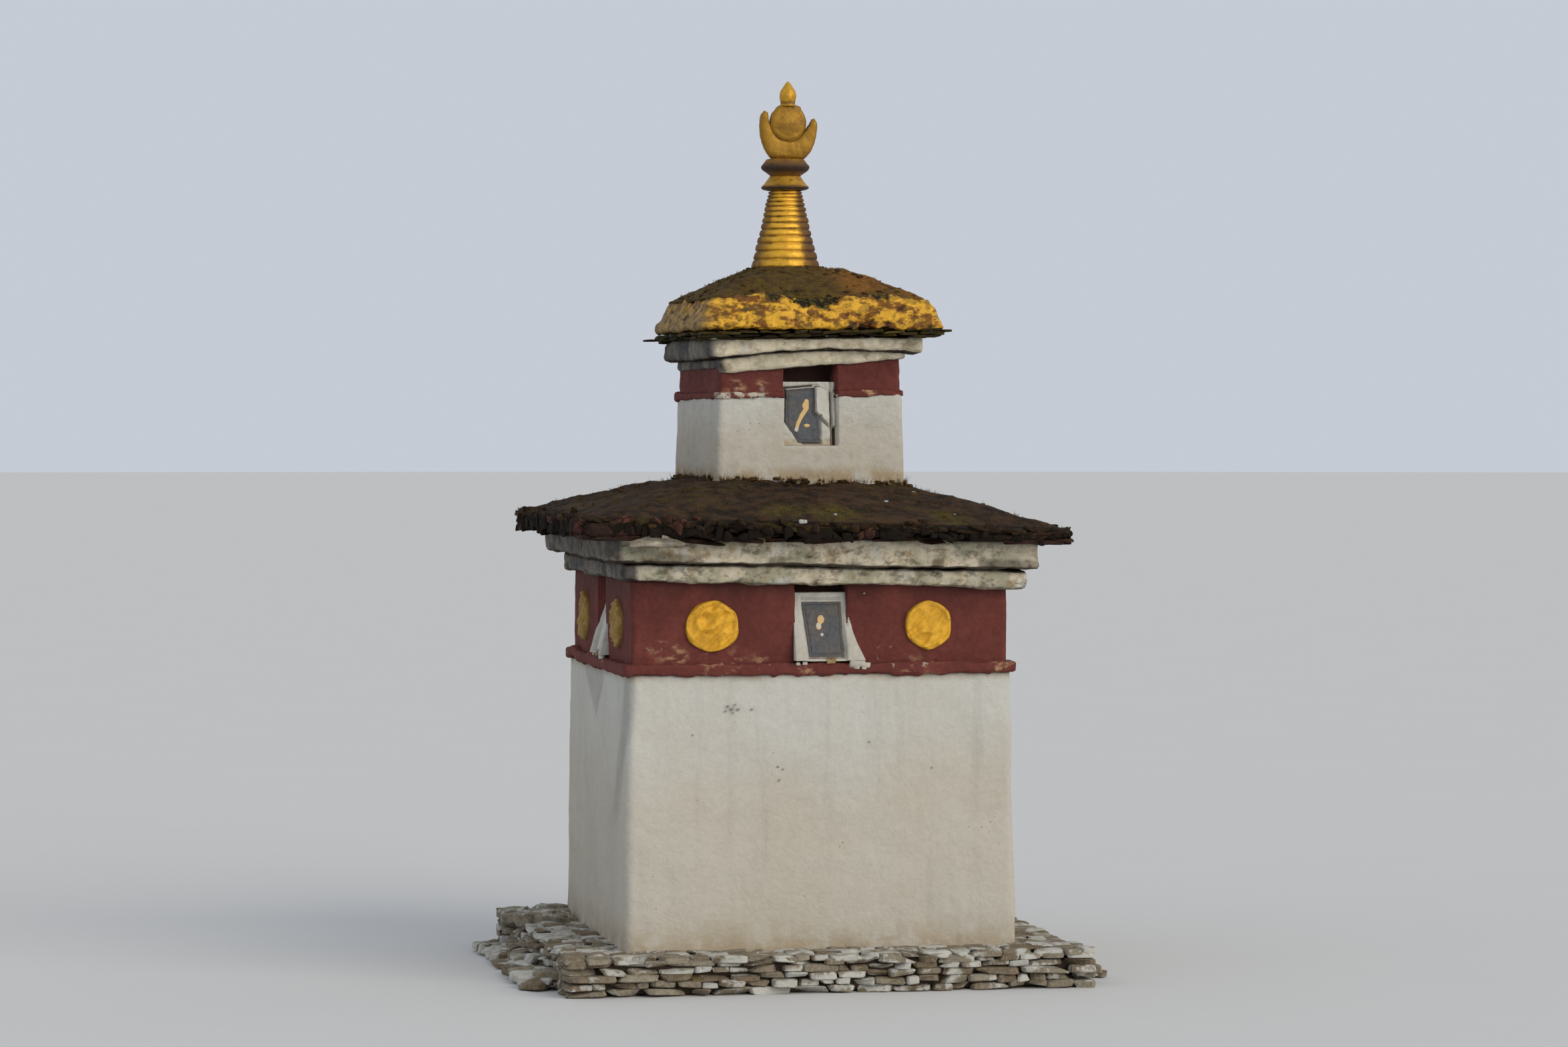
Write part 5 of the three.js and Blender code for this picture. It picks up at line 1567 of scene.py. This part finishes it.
class STUPA_OT_upper_niche(StupaOperator, bpy.types.Operator):
    """Set the broken slate of the upper storey in its plaster"""

    bl_idname = "stupa.upper_niche"
    bl_label = "Upper niche"

    def build(self, sizes, paints):
        self.plaster(limewash(paints, "Upper niche plaster", 3.2, 3.8, weather=0.1))
        self.slate(carved_slate(paints, "Broken slate"))

    def plaster(self, material):
        """A leaning sheet with a proud white facet right of the slate, cut by a sloping ledge, a
        second strip past a dark crack, a pocket of mud at its right, and a lip over the slate."""
        along = np.linspace(-0.012, 0.428, 92)[:, None]
        across = np.linspace(-0.189, 0.189, 84)[None]
        ledge = 0.217 - 0.9 * (across - 0.03)
        upper = between(along - ledge, 0.0, 0.012)
        inner = np.where(along > 0.197, 0.034, 0.074)
        facet = between(across - inner, 0.0, 0.01) * between(across, 0.146, 0.136)
        facet = facet * between(along + 0.5 * np.clip(across - 0.08, 0, 1), 0.405, 0.385)
        slant = np.clip((across - 0.03) / 0.11, 0, 1)
        crack = bell(across - 0.004 * waver(along * 9, 0.4, 8), 0.152, 0.005)
        strip = between(across, 0.158, 0.163) * between(across, 0.187, 0.181)
        strip = strip * between(along, 0.105, 0.135) * between(along, 0.36, 0.34)
        mud = between(across, 0.158, 0.166) * between(along, 0.125, 0.105)
        mud = most(mud, between(across, 0.183, 0.187))
        lip_at = np.interp(across, [-0.19, 0.06, 0.145, 0.19], [0.404, 0.424, 0.376, 0.34])
        lip = between(along - lip_at, -0.014, -0.008)
        lift = facet * (0.012 + upper * (0.05 - 0.036 * slant)) + 0.02 * strip
        lift = lift - 0.045 * mud - 0.02 * crack + 0.014 * lip
        corner = between(across + 0.55 * along, -0.055, -0.067)
        lift = lift + 0.02 * corner * between(along, 0.16, 0.14)
        grid = on_slope(UPPER_FOOT, UPPER_LEAN, across, along, lift)
        grid[..., 1] += 0.005 * rough(grid, 0.045, 81)
        shade = bell(along - ledge, -0.008, 0.009) * facet
        # Painted shade: behind is the dark under the lip on the left, and shade is the dark under the
        # sloping ledge.
        behind = between(along, 0.36, 0.38) * (1.0 - lip) * between(across, 0.04, 0.02)
        hollow = most(mud, 0.95 * crack * (1.0 - lip), 0.85 * shade, behind)
        shell = Shell()
        shell.plate(
            grid,
            lambda p: xyz(p[:, 0], 0.475, p[:, 2]),
            lambda p: as_upper(to_front(p)),
            hollow=hollow,
            mark=0.8 * between(along, 0.05, 0.02),
        )
        shell.piece("upper_niche_plaster", material, "whitewash", "upper_niche_bed")

    def slate(self, material):
        """The broken slate between its ragged edges, with a painted flame and a dot in gold, and
        a lime line along its top."""
        rise = np.linspace(0.0, 1.0, 96)[:, None]
        share = np.linspace(0.0, 1.0, 64)[None]
        left_along, right_along = 0.006 + 0.372 * rise, 0.004 + 0.392 * rise
        left = np.interp(left_along, [0.006, 0.138, 0.378], [-0.088, -0.176, -0.168])
        left = left + 0.004 * waver(rise * 6, 0.5, 4)
        right = np.interp(right_along, [0.0, 0.176, 0.217, 0.394], [0.07, 0.066, 0.032, 0.055])
        right = right + 0.003 * waver(rise * 4, 0.5, 6)
        across = left + (right - left) * share
        along = left_along + (right_along - left_along) * share
        margin = least(across - left, right - across)
        margin = least(margin, 0.37 * least(rise, 1 - rise))
        edge = between(margin, 0.0, 0.008)
        flame = stroke(across, along, [(-0.022, 0.292), (-0.022, 0.245), (-0.06, 0.19)], 0.021)
        tail = stroke(across, along, [(-0.06, 0.19), (-0.086, 0.14), (-0.1, 0.094)], 0.018)
        dot = spot(across, along, (-0.024, 0.124), (0.024, 0.013))
        head = spot(across, along, (-0.03, 0.262), (0.026, 0.03))
        gold = most(flame, tail, dot, head)
        rim = bell(margin, 0.018, 0.004)
        lift = 0.02 + 0.004 * edge + 0.004 * gold - 0.002 * rim
        grid = on_slope(UPPER_FOOT, UPPER_LEAN, across, along, lift)
        grid[..., 1] += 0.0018 * rough(grid, 0.03, 83)
        pale_end = 0.8 * tail * between(along, 0.125, 0.105)
        lime = most(0.9 * between(rise, 0.97, 1.0), pale_end)
        shell = Shell()
        shell.plate(
            grid,
            lambda p: p - np.array([0.0, 0.026, 0.003]),
            lambda p: as_upper(to_front(p)),
            hollow=0.6 * rim + 0.4 * (1 - edge),
            mark=gold,
            tone=lime,
        )
        shell.piece("upper_slate", material, "carved_slate", "upper_niche_slate")


UPPER_CORNICE_LAYERS = [(0.008, 0.14), (0.005, 0.05), (0.003, 0.022)]


def bow(grid, share):
    """How far the seam between the upper cornice's courses is lifted: a parabola over the front,
    highest in the middle, for the share of the height that takes part."""
    arch = 1.0 - np.clip((grid[..., 0] - 0.1) / 0.75, -1.0, 1.0) ** 2
    return (0.05 * share * arch * between(grid[..., 1], 0.0, -0.5))[..., None] * (0, 0, 1)


class STUPA_OT_upper_roof(StupaOperator, bpy.types.Operator):
    """Lay the upper cornice and slates, and shape the gilt rim and the turfed cap"""

    bl_idname = "stupa.upper_roof"
    bl_label = "Upper roof"

    def build(self, sizes, paints):
        white = limewash(paints, "Upper cornice limewash", 3.6, 4.3, weather=0.45, fresh_and_lit=0.8)
        ring = Ring(94, 5)
        # Painted shade, partly: the faces turned to the left are painted dark grey as well as
        # wet-stained.
        damp_and_shade = most(-ring.normal[:, 0], 0.0)
        self.lower_course(white, ring, damp_and_shade)
        self.upper_course(white, ring, damp_and_shade)
        self.slates(field_stone(
            paints, "Upper slates", paints.slab, paints.turf_moss, lime_share=0.28, moss_share=0.9,
        ))
        self.rim(sizes, gilt_clay(paints, "Gilt clay rim", age=1.0))
        self.cap(sizes, turf(paints, "Cap turf"))

    def cap(self, sizes, material):
        """A square mound of turf, mossy at its edge, with more straw towards the right."""
        path = stepped(mound_path(
            0.74, top_half=0.285, low=4.632, rim=4.651, top=4.865, swell=0.01, inner=0.1, tuck=0.06,
        ), 0.016)
        layers = [(0.01, 0.17), (0.006, 0.06), (0.004, 0.025)]
        grid, hollow = worn(squared(path, Ring(72, 5), 0.05), layers, 63)
        grid = as_cap(grid)
        moss = 0.42 + 0.35 * noise(grid, 0.4, 64) + 0.25 * between(grid[..., 2], 4.72, 4.66)
        straw = 0.15 + 1.1 * between(grid[..., 0], 0.05, 0.45) * smooth(0.7 + noise(grid, 0.2, 66))
        shell = Shell()
        shell.tube(grid, hollow=hollow * 0.7, mark=np.clip(moss, 0, 1), tone=straw)
        slope = grid[path[:, 1] > 4.655]
        rng = np.random.default_rng(7)
        grow(shell, rng, slope, 2000, 130, sizes.blade_height * 0.45, size=0.022, mark=0.8)
        shell.piece("turf_cap", material, "turf", "roof_cap")

    def lower_course(self, white, ring, damp_and_shade):
        """The narrower course, bitten at its left corner and broken off on the left side."""
        grid, hollow, share = course(
            0.662, UPPER_CORNICE_FOOT, UPPER_CORNICE_SEAM, ring, UPPER_CORNICE_LAYERS, inner=0.6,
            seeds=(51, 53), bend=0.005, shift=0.012, slopes=(BAND_RISE, JOINT_RISE),
        )
        bites = swellings(grid, [(-0.655, -0.655, 4.17, 0.04, 0.016), (-0.6, -0.66, 4.14, 0.03, 0.008)])
        broken = (1.0 - share) * between(-grid[..., 0], 0.6, 0.63) * between(grid[..., 1], -0.63, -0.57)
        grid = raised(grid, -bites) + bow(grid, share)
        grid[..., 2] += 0.045 * broken
        # Painted shade, partly: the seams are darker, soiled and shaded under the course above.
        dirt_and_shade = most(between(share, 0.84, 0.96) * 0.9, between(share, 0.1, 0.02) * 0.7)
        tube_piece(
            "upper_cornice_lower", white, "whitewash", "upper_cornice_lower_course", as_upper(grid),
            hollow=most(dirt_and_shade, hollow * 0.3, np.clip(bites * 60.0, 0, 1)), tone=damp_and_shade,
        )

    def upper_course(self, white, ring, damp_and_shade):
        """The wider course, dented a little, and darker along its seam and under the slates: soiling and
        painted shade.
        """
        grid, hollow, share = course(
            0.752, UPPER_CORNICE_SEAM + JOINT, UPPER_CORNICE_TOP, ring, UPPER_CORNICE_LAYERS,
            inner=0.62, seeds=(53, 55), bend=0.005, shift=0.025, slopes=(JOINT_RISE, 0.012),
        )
        dents = swellings(grid, [
            (-0.7, -0.75, 4.29, 0.04, 0.01), (0.1, -0.76, 4.26, 0.05, 0.012),
            (0.62, -0.76, 4.28, 0.05, 0.01),
        ])
        grid = raised(grid, -dents) + bow(grid, 1.0 - share)
        # Painted shade, partly: darker along the seam and under the overhang of the slates.
        dirt_and_shade = most(between(share, 0.1, 0.01) * 0.85, between(share, 0.93, 1.0))
        tube_piece(
            "upper_cornice_upper", white, "whitewash", "upper_cornice_upper_course", as_upper(grid),
            hollow=most(dirt_and_shade, hollow * 0.3), tone=damp_and_shade,
        )

    def slates(self, material):
        """Three courses of thin slates, green with moss under the rim, and two that stick out."""
        def tilted(points):
            """They lie lower towards the left."""
            return as_rim(points) + 0.014 * (points[..., :1] / 0.87 - 0.2) * (0, 0, 1)

        rng = np.random.default_rng(61)
        shell = Shell()
        for side in SIDES:
            for mean, out, low, high in (
                (0.2, 0.8, 4.366, 4.384), (0.15, 0.87, 4.382, 4.404),
                (0.12, 0.874, 4.402, 4.426),
            ):
                stone_row(
                    rng, shell, side, 0.85, mean, out, low, high, depth=0.2, power=7.0,
                    ragged=0.038, move=tilted, tone=0.6, mark=0.42,
                )
        centre = np.array([[-0.875, 0.8, 4.39], [0.87, -0.79, 4.41]])
        half = np.array([[0.06, 0.1, 0.008], [0.035, 0.06, 0.009]])
        shell.blocks(tilted(stones(centre, half, 5.0, 0.1, 3)), tone=np.array([0.3, 0.3]))
        shell.piece("upper_slates", material, "roof_slab", "upper_eave_slates", soft=False)

    def rim(self, sizes, material):
        """A square column leaning in from foot to top, lumpy all over, mossy along its top."""
        foot, head = sizes.rim_foot, sizes.rim_head
        path = stepped([
            (foot - 0.14, RIM_BASE),
            (foot - 0.012, RIM_BASE),
            (foot + 0.002, 4.444),
            (foot - 0.008, 4.48),
            (head + 0.018, 4.6),
            (head - 0.006, 4.63),
            (head - 0.04, 4.644),
            (head - 0.2, 4.646),
        ], 0.014)
        ring = Ring(110, 6)
        grid = as_rim(squared(path, ring, 0.05))
        top = between(grid[..., 2], 4.575, 4.64)
        low = between(grid[..., 2], 4.47, 4.44)
        layers = [(0.014, 0.14), (0.011, 0.055), (0.006, 0.025), (0.003, 0.012)]
        grid, hollow = worn(grid, layers, 65)
        lumps = swellings(grid, [
            (0.415, -0.84, 4.468, 0.06, -0.04), (0.56, -0.84, 4.45, 0.04, -0.02),
            (-0.56, -0.84, 4.45, 0.035, -0.016), (-0.42, -0.81, 4.63, 0.12, 0.014),
            (0.3, -0.82, 4.5, 0.06, 0.014), (-0.2, -0.82, 4.56, 0.08, 0.012),
            (0.92, -0.78, 4.45, 0.05, 0.016), (-0.78, 0.8, 4.47, 0.07, 0.02),
            (0.7, -0.8, 4.56, 0.07, 0.012),
        ])
        grid = raised(grid, lumps)
        grid[..., 2] += top * swellings(grid, [
            (-0.3, -0.78, 4.64, 0.16, 0.026), (0.3, -0.78, 4.64, 0.16, 0.02),
            (0.62, -0.76, 4.64, 0.14, 0.022),
        ])
        moss = 0.3 * top + swellings(grid, [
            (-0.02, -0.79, 4.625, 0.1, 0.45), (0.13, -0.79, 4.62, 0.1, 0.5),
            (-0.24, -0.79, 4.64, 0.06, 0.4), (0.52, -0.79, 4.645, 0.08, 0.25),
            (0.86, -0.82, 4.45, 0.05, 0.3),
        ])
        # Painted shade, partly: the left face is painted duller and darker, and a little mossier.
        left = between(-grid[..., 0], 0.62, 0.76)
        moss = np.clip(moss + 0.1 * low + 0.08 * left, 0, 1)
        hollow = most(hollow, np.clip(-lumps * 45.0, 0, 1))
        shell = Shell()
        shell.tube(grid, hollow=hollow, mark=moss, tone=0.75 * left)
        columns = (ring.normal[:, 1] < -0.999) & (np.abs(ring.core[:, 0] + 0.05) < 0.26)
        patch = grid[path[:, 1] > 4.605][:, columns]
        grow(shell, np.random.default_rng(8), patch, 240, 90, height=0.01, size=0.014, mark=2.0)
        shell.piece("rim", material, "gilt_clay", "gilt_rim")


class STUPA_OT_finial(StupaOperator, bpy.types.Operator):
    """Raise the gilt finial: ringed spire, collars, crescent, sun disc and jewel"""

    bl_idname = "stupa.finial"
    bl_label = "Finial"

    def build(self, sizes, paints):
        gilt = gilt_metal(paints, "Gilded metal")
        self.spire(sizes, gilt)
        self.lathe("collar_low", gilt, "lower_collar", 4.5, SPIRE_SHIFT, (0.55, 0.95, 0.016), [
            (0.02, 5.4056), (0.112, 5.4056), (0.16, 5.4166), (0.17, 5.4316), (0.15, 5.4476),
            (0.118, 5.4906), (0.106, 5.5106), (0.02, 5.5106),
        ], 5.4236)
        self.lathe("collar_high", gilt, "upper_collar", 5.5, SPIRE_SHIFT, (0.95, 1.0, 0.034), [
            (0.02, 5.5109), (0.106, 5.5109), (0.122, 5.5269), (0.16, 5.5507), (0.171, 5.5737),
            (0.15, 5.6007), (0.128, 5.6279), (0.02, 5.6279),
        ], 5.562)
        self.moon(gilt)
        self.sun(gilt)
        self.lathe("drop", gilt, "jewel", 6.5, 0.0, (0.4, 0.4, 0.012), [
            (0.004, 5.996), (0.056, 5.996), (0.049, 6.015), (0.056, 6.042), (0.061, 6.072),
            (0.051, 6.1055), (0.028, 6.14), (0.012, 6.161), (0.003, 6.1693),
        ], 6.02)

    def spire(self, sizes, material):
        """Thirteen rings, each lower than the one under it: the cone's radius less a groove that
        is deep at the ring's ends and nothing over its middle. Its flanks are painted browner and
        darker as shade, the right one most."""
        bottom, tall, count = SPIRE_BASE, 0.54, 13
        place = np.linspace(0.0, count, count * 9 + 1)
        share = place / count
        height = tall * share * (1.0 + 0.5 * (1.0 - share))
        within = place - np.floor(place)
        groove = bell(least(within, 1.0 - within), 0.0, 0.13)
        radius = sizes.spire_foot + (sizes.spire_head - sizes.spire_foot) * height / tall
        radius = radius - 0.003 * np.sin(math.pi * height / tall)
        lip = 0.006 * np.sin(within * math.pi) ** 0.6
        path = np.stack([radius + lip - 0.007 * groove, bottom + height], axis=-1)
        path = np.concatenate([[[0.05, bottom]], path, [[0.04, bottom + tall]]])
        grid, hollow = worn(turned(path, 96), [(0.0045, 0.1), (0.003, 0.035), (0.0015, 0.014)], 91)
        groove = np.concatenate([[0.0], groove, [0.0]])[:, None]
        patchy = smooth(0.5 + 0.8 * noise(grid, 0.09, 95))
        # Painted shade: the flanks darken away from the front, the right side most.
        angle = np.arctan2(grid[..., 1], grid[..., 0])
        flank_shade = between(np.abs(np.sin(angle / 2 + math.pi / 4 + 0.09)), 0.16, 0.58)
        painted_shade = 0.9 * between(np.cos(angle + 0.1), 0.15, 0.9)
        groove = groove * (0.25 + 0.6 * patchy) * (1.0 - 0.4 * flank_shade)
        tube_piece(
            "spire", material, "gilt_metal", "ring_spire",
            moved(grid, UPPER_TURN, UPPER_SHIFT + SPIRE_SHIFT),
            hollow=np.clip(groove + 0.2 * hollow + 0.4 * painted_shade, 0, 1),
            tone=most(flank_shade, painted_shade),
            mark=0.4 * flank_shade + 0.6 * painted_shade,
        )

    def lathe(self, name, material, node, seed, shift, finish, corners, shade_height):
        """A turned piece with eased corners and small dents. The finish is how brown it is, how
        dark a band of painted shade below its widest part is at the shade height, and that band's
        half width."""
        brown, dark, width = finish
        path = eased(stepped(corners, 0.005), 5)
        grid, hollow = worn(turned(path, 72), [(0.003, 0.07), (0.0016, 0.025)], int(seed * 20))
        # Painted shade: a dark band below the widest part.
        dark = dark * bell(grid[..., 2], shade_height, width)
        tube_piece(
            name, material, "gilt_metal", node, moved(grid, UPPER_TURN, UPPER_SHIFT + shift),
            hollow=most(hollow * 0.4, dark * 0.9),
            tone=brown,
            mark=0.6 * dark + 0.35 * brown,
        )

    def moon(self, material):
        """A crescent on its back: round sections between the seat of the sun and an outer half
        ellipse, carried from one blunt horn to the other."""
        seat, half, drop = 0.1327, 0.206, 0.27
        middle = drop * math.sin(math.acos(0.118 / half))
        right = math.asin((0.288 - middle) / drop)
        left = math.asin((0.342 - middle) / drop)
        share = np.linspace(0.0, 1.0, 88)[:, None]
        angle = -math.pi - left + (math.pi + left + right) * share
        outer = np.stack([half * np.cos(angle), middle + drop * np.sin(angle)], axis=-1)
        outer[..., 1] = most(outer[..., 1], 0.0)
        sweep = -math.pi - 0.54 + (math.pi + 0.76) * share
        seat_across = seat - 0.006 + 0.031 * between(np.abs(share - 0.5), 0.3, 0.48)
        seat_up = SUN_HEIGHT + (seat - 0.01) * np.sin(sweep)
        inner = np.stack([seat_across * np.cos(sweep), seat_up], axis=-1)
        round_ = np.linspace(0.0, 2 * math.pi, 20, endpoint=False)[None]
        across = 0.5 + 0.5 * np.sign(np.cos(round_)) * np.abs(np.cos(round_)) ** 0.6
        depth = 0.031 * np.sign(np.sin(round_)) * np.abs(np.sin(round_)) ** 0.6
        taper = between(least(share, 1 - share), 0.0, 0.04) * 0.5 + 0.5
        across = 0.5 + (across - 0.5) * taper
        section = inner * (1 - across[..., None]) + outer * across[..., None]
        grid = xyz(section[..., 0], depth * taper, section[..., 1] + MOON_BASE)
        grid, hollow = worn(grid, [(0.004, 0.05), (0.002, 0.02)], 97)
        seam = between(across, 0.12, 0.0)
        tube_piece(
            "moon", material, "gilt_metal", "crescent_moon", as_upper(grid),
            hollow=most(hollow * 0.3, 0.8 * seam), tone=0.95, mark=0.15,
        )

    def sun(self, material):
        """A thick lens with a low rim and a soft mottled relief on both faces, whose outline runs
        up into the foot of the jewel."""
        rim = [(0.118, -0.026), (0.13, -0.018), (0.132, 0.0), (0.13, 0.018), (0.118, 0.026)]
        face = [(0.108, 0.029), (0.09, 0.03), (0.06, 0.034), (0.03, 0.037), (0.003, 0.038)]
        back = [(radius, -height) for radius, height in reversed(face)]
        path = eased(stepped(back + rim + face, 0.004), 1)
        grid, hollow = worn(turned(path, 80), [(0.004, 0.06), (0.0015, 0.022)], 99)
        grid[..., 0] *= 1.0 + 0.4 * between(grid[..., 1], 0.09, 0.13)
        upright = grid[..., [0, 2, 1]] * (1, -1, 1) + (0, 0, MOON_BASE + SUN_HEIGHT)
        tube_piece(
            "sun", material, "gilt_metal", "sun_disc", as_upper(upright),
            hollow=hollow * 0.4, tone=0.95, mark=0.22,
        )


FLOOR_RADIUS = 340.0


class STUPA_OT_stage(StupaOperator, bpy.types.Operator):
    """Lay the studio floor, hang the soft lights and set the camera"""

    bl_idname = "stupa.stage"
    bl_label = "Stage"

    def build(self, sizes, paints):
        self.floor(paints)
        self.lamp("Key", 1.8, (1.0, 0.93, 0.82), softness=50.0, bearing=36.0, elevation=25.0)
        self.lamp("Fill", 0.18, (0.86, 0.92, 1.0), softness=60.0, bearing=-60.0, elevation=30.0)
        self.sky((0.78, 0.83, 0.92), strength=0.72)
        self.camera(math.radians(-11.0), distance=33.5, eye=3.787, aim=3.085)
        bpy.context.scene.view_settings.view_transform = "Standard"

    def floor(self, paints):
        """A pale disc that reaches the horizon, a millimetre under the ground."""
        finish = Finish("Studio floor")
        finish.colour = paints.floor
        finish.shade(finish.noise(0.7, 3.0) * 0.03 + 0.97)
        material = finish.done(finish.noise(4.0, 3.0) * 0.05 + 0.9, finish.noise(30.0, 4.0), 0.001)
        angle = np.linspace(0.0, 2 * math.pi, 96, endpoint=False)
        disc = xyz(FLOOR_RADIUS * np.cos(angle), FLOOR_RADIUS * np.sin(angle), -0.001)
        mesh = bpy.data.meshes.new("floor")
        mesh.from_pydata(disc.tolist(), [], [list(range(len(angle)))])
        mesh.materials.append(material)
        placed("floor", mesh)

    def sky(self, colour, strength):
        world = bpy.data.worlds.new("Studio")
        world.use_nodes = True
        background = world.node_tree.nodes["Background"]
        background.inputs["Color"].default_value = (*colour, 1.0)
        background.inputs["Strength"].default_value = strength
        bpy.context.scene.world = world

    def camera(self, bearing, distance, eye, aim):
        """A camera at eye height, its bearing measured from the front, aimed at a height."""
        lens = bpy.data.cameras.new("Camera")
        lens.sensor_width, lens.lens = 36.0, 110.0
        lens.clip_end = 1000.0
        camera = placed("Camera", lens)
        camera.location = (distance * math.sin(bearing), -distance * math.cos(bearing), eye)
        camera.rotation_euler = (math.pi / 2 - math.atan((eye - aim) / distance), 0.0, bearing)
        bpy.context.scene.camera = camera

    def lamp(self, name, power, colour, softness, bearing, elevation):
        """A sun lamp as wide as softness in degrees, from a bearing right of the front."""
        lamp = bpy.data.lights.new(name, "SUN")
        lamp.energy, lamp.color, lamp.angle = power, colour, math.radians(softness)
        placed(name, lamp).rotation_euler = (
            math.radians(90.0 - elevation), 0.0, math.radians(bearing),
        )


# Panel and registration


OPERATORS = (
    STUPA_OT_stage,
    STUPA_OT_plinth,
    STUPA_OT_walls,
    STUPA_OT_niches,
    STUPA_OT_discs,
    STUPA_OT_cornice,
    STUPA_OT_lower_roof,
    STUPA_OT_upper_storey,
    STUPA_OT_upper_niche,
    STUPA_OT_upper_roof,
    STUPA_OT_finial,
)


class VIEW3D_PT_stupa(bpy.types.Panel):
    """The sidebar's list of sizes, colours and pieces"""

    bl_label = "Stupa"
    bl_space_type = "VIEW_3D"
    bl_region_type = "UI"
    bl_category = "Stupa"

    def draw(self, context):
        for group in (context.scene.stupa_sizes, context.scene.stupa_colours):
            column = self.layout.column()
            for name in group.__annotations__:
                column.prop(group, name)
        for operator in OPERATORS:
            self.layout.operator(operator.bl_idname)


CLASSES = (StupaSizes, StupaColours, *OPERATORS, VIEW3D_PT_stupa)


def register():
    for each in CLASSES:
        bpy.utils.register_class(each)
    bpy.types.Scene.stupa_sizes = PointerProperty(type=StupaSizes)
    bpy.types.Scene.stupa_colours = PointerProperty(type=StupaColours)


def unregister():
    del bpy.types.Scene.stupa_colours
    del bpy.types.Scene.stupa_sizes
    for each in reversed(CLASSES):
        bpy.utils.unregister_class(each)


def main():
    register()
    bpy.ops.stupa.stage()
    bpy.ops.stupa.plinth()
    bpy.ops.stupa.walls()
    bpy.ops.stupa.niches()
    bpy.ops.stupa.discs()
    bpy.ops.stupa.cornice()
    bpy.ops.stupa.lower_roof()
    bpy.ops.stupa.upper_storey()
    bpy.ops.stupa.upper_niche()
    bpy.ops.stupa.upper_roof()
    bpy.ops.stupa.finial()


if __name__ == "__main__":
    main()
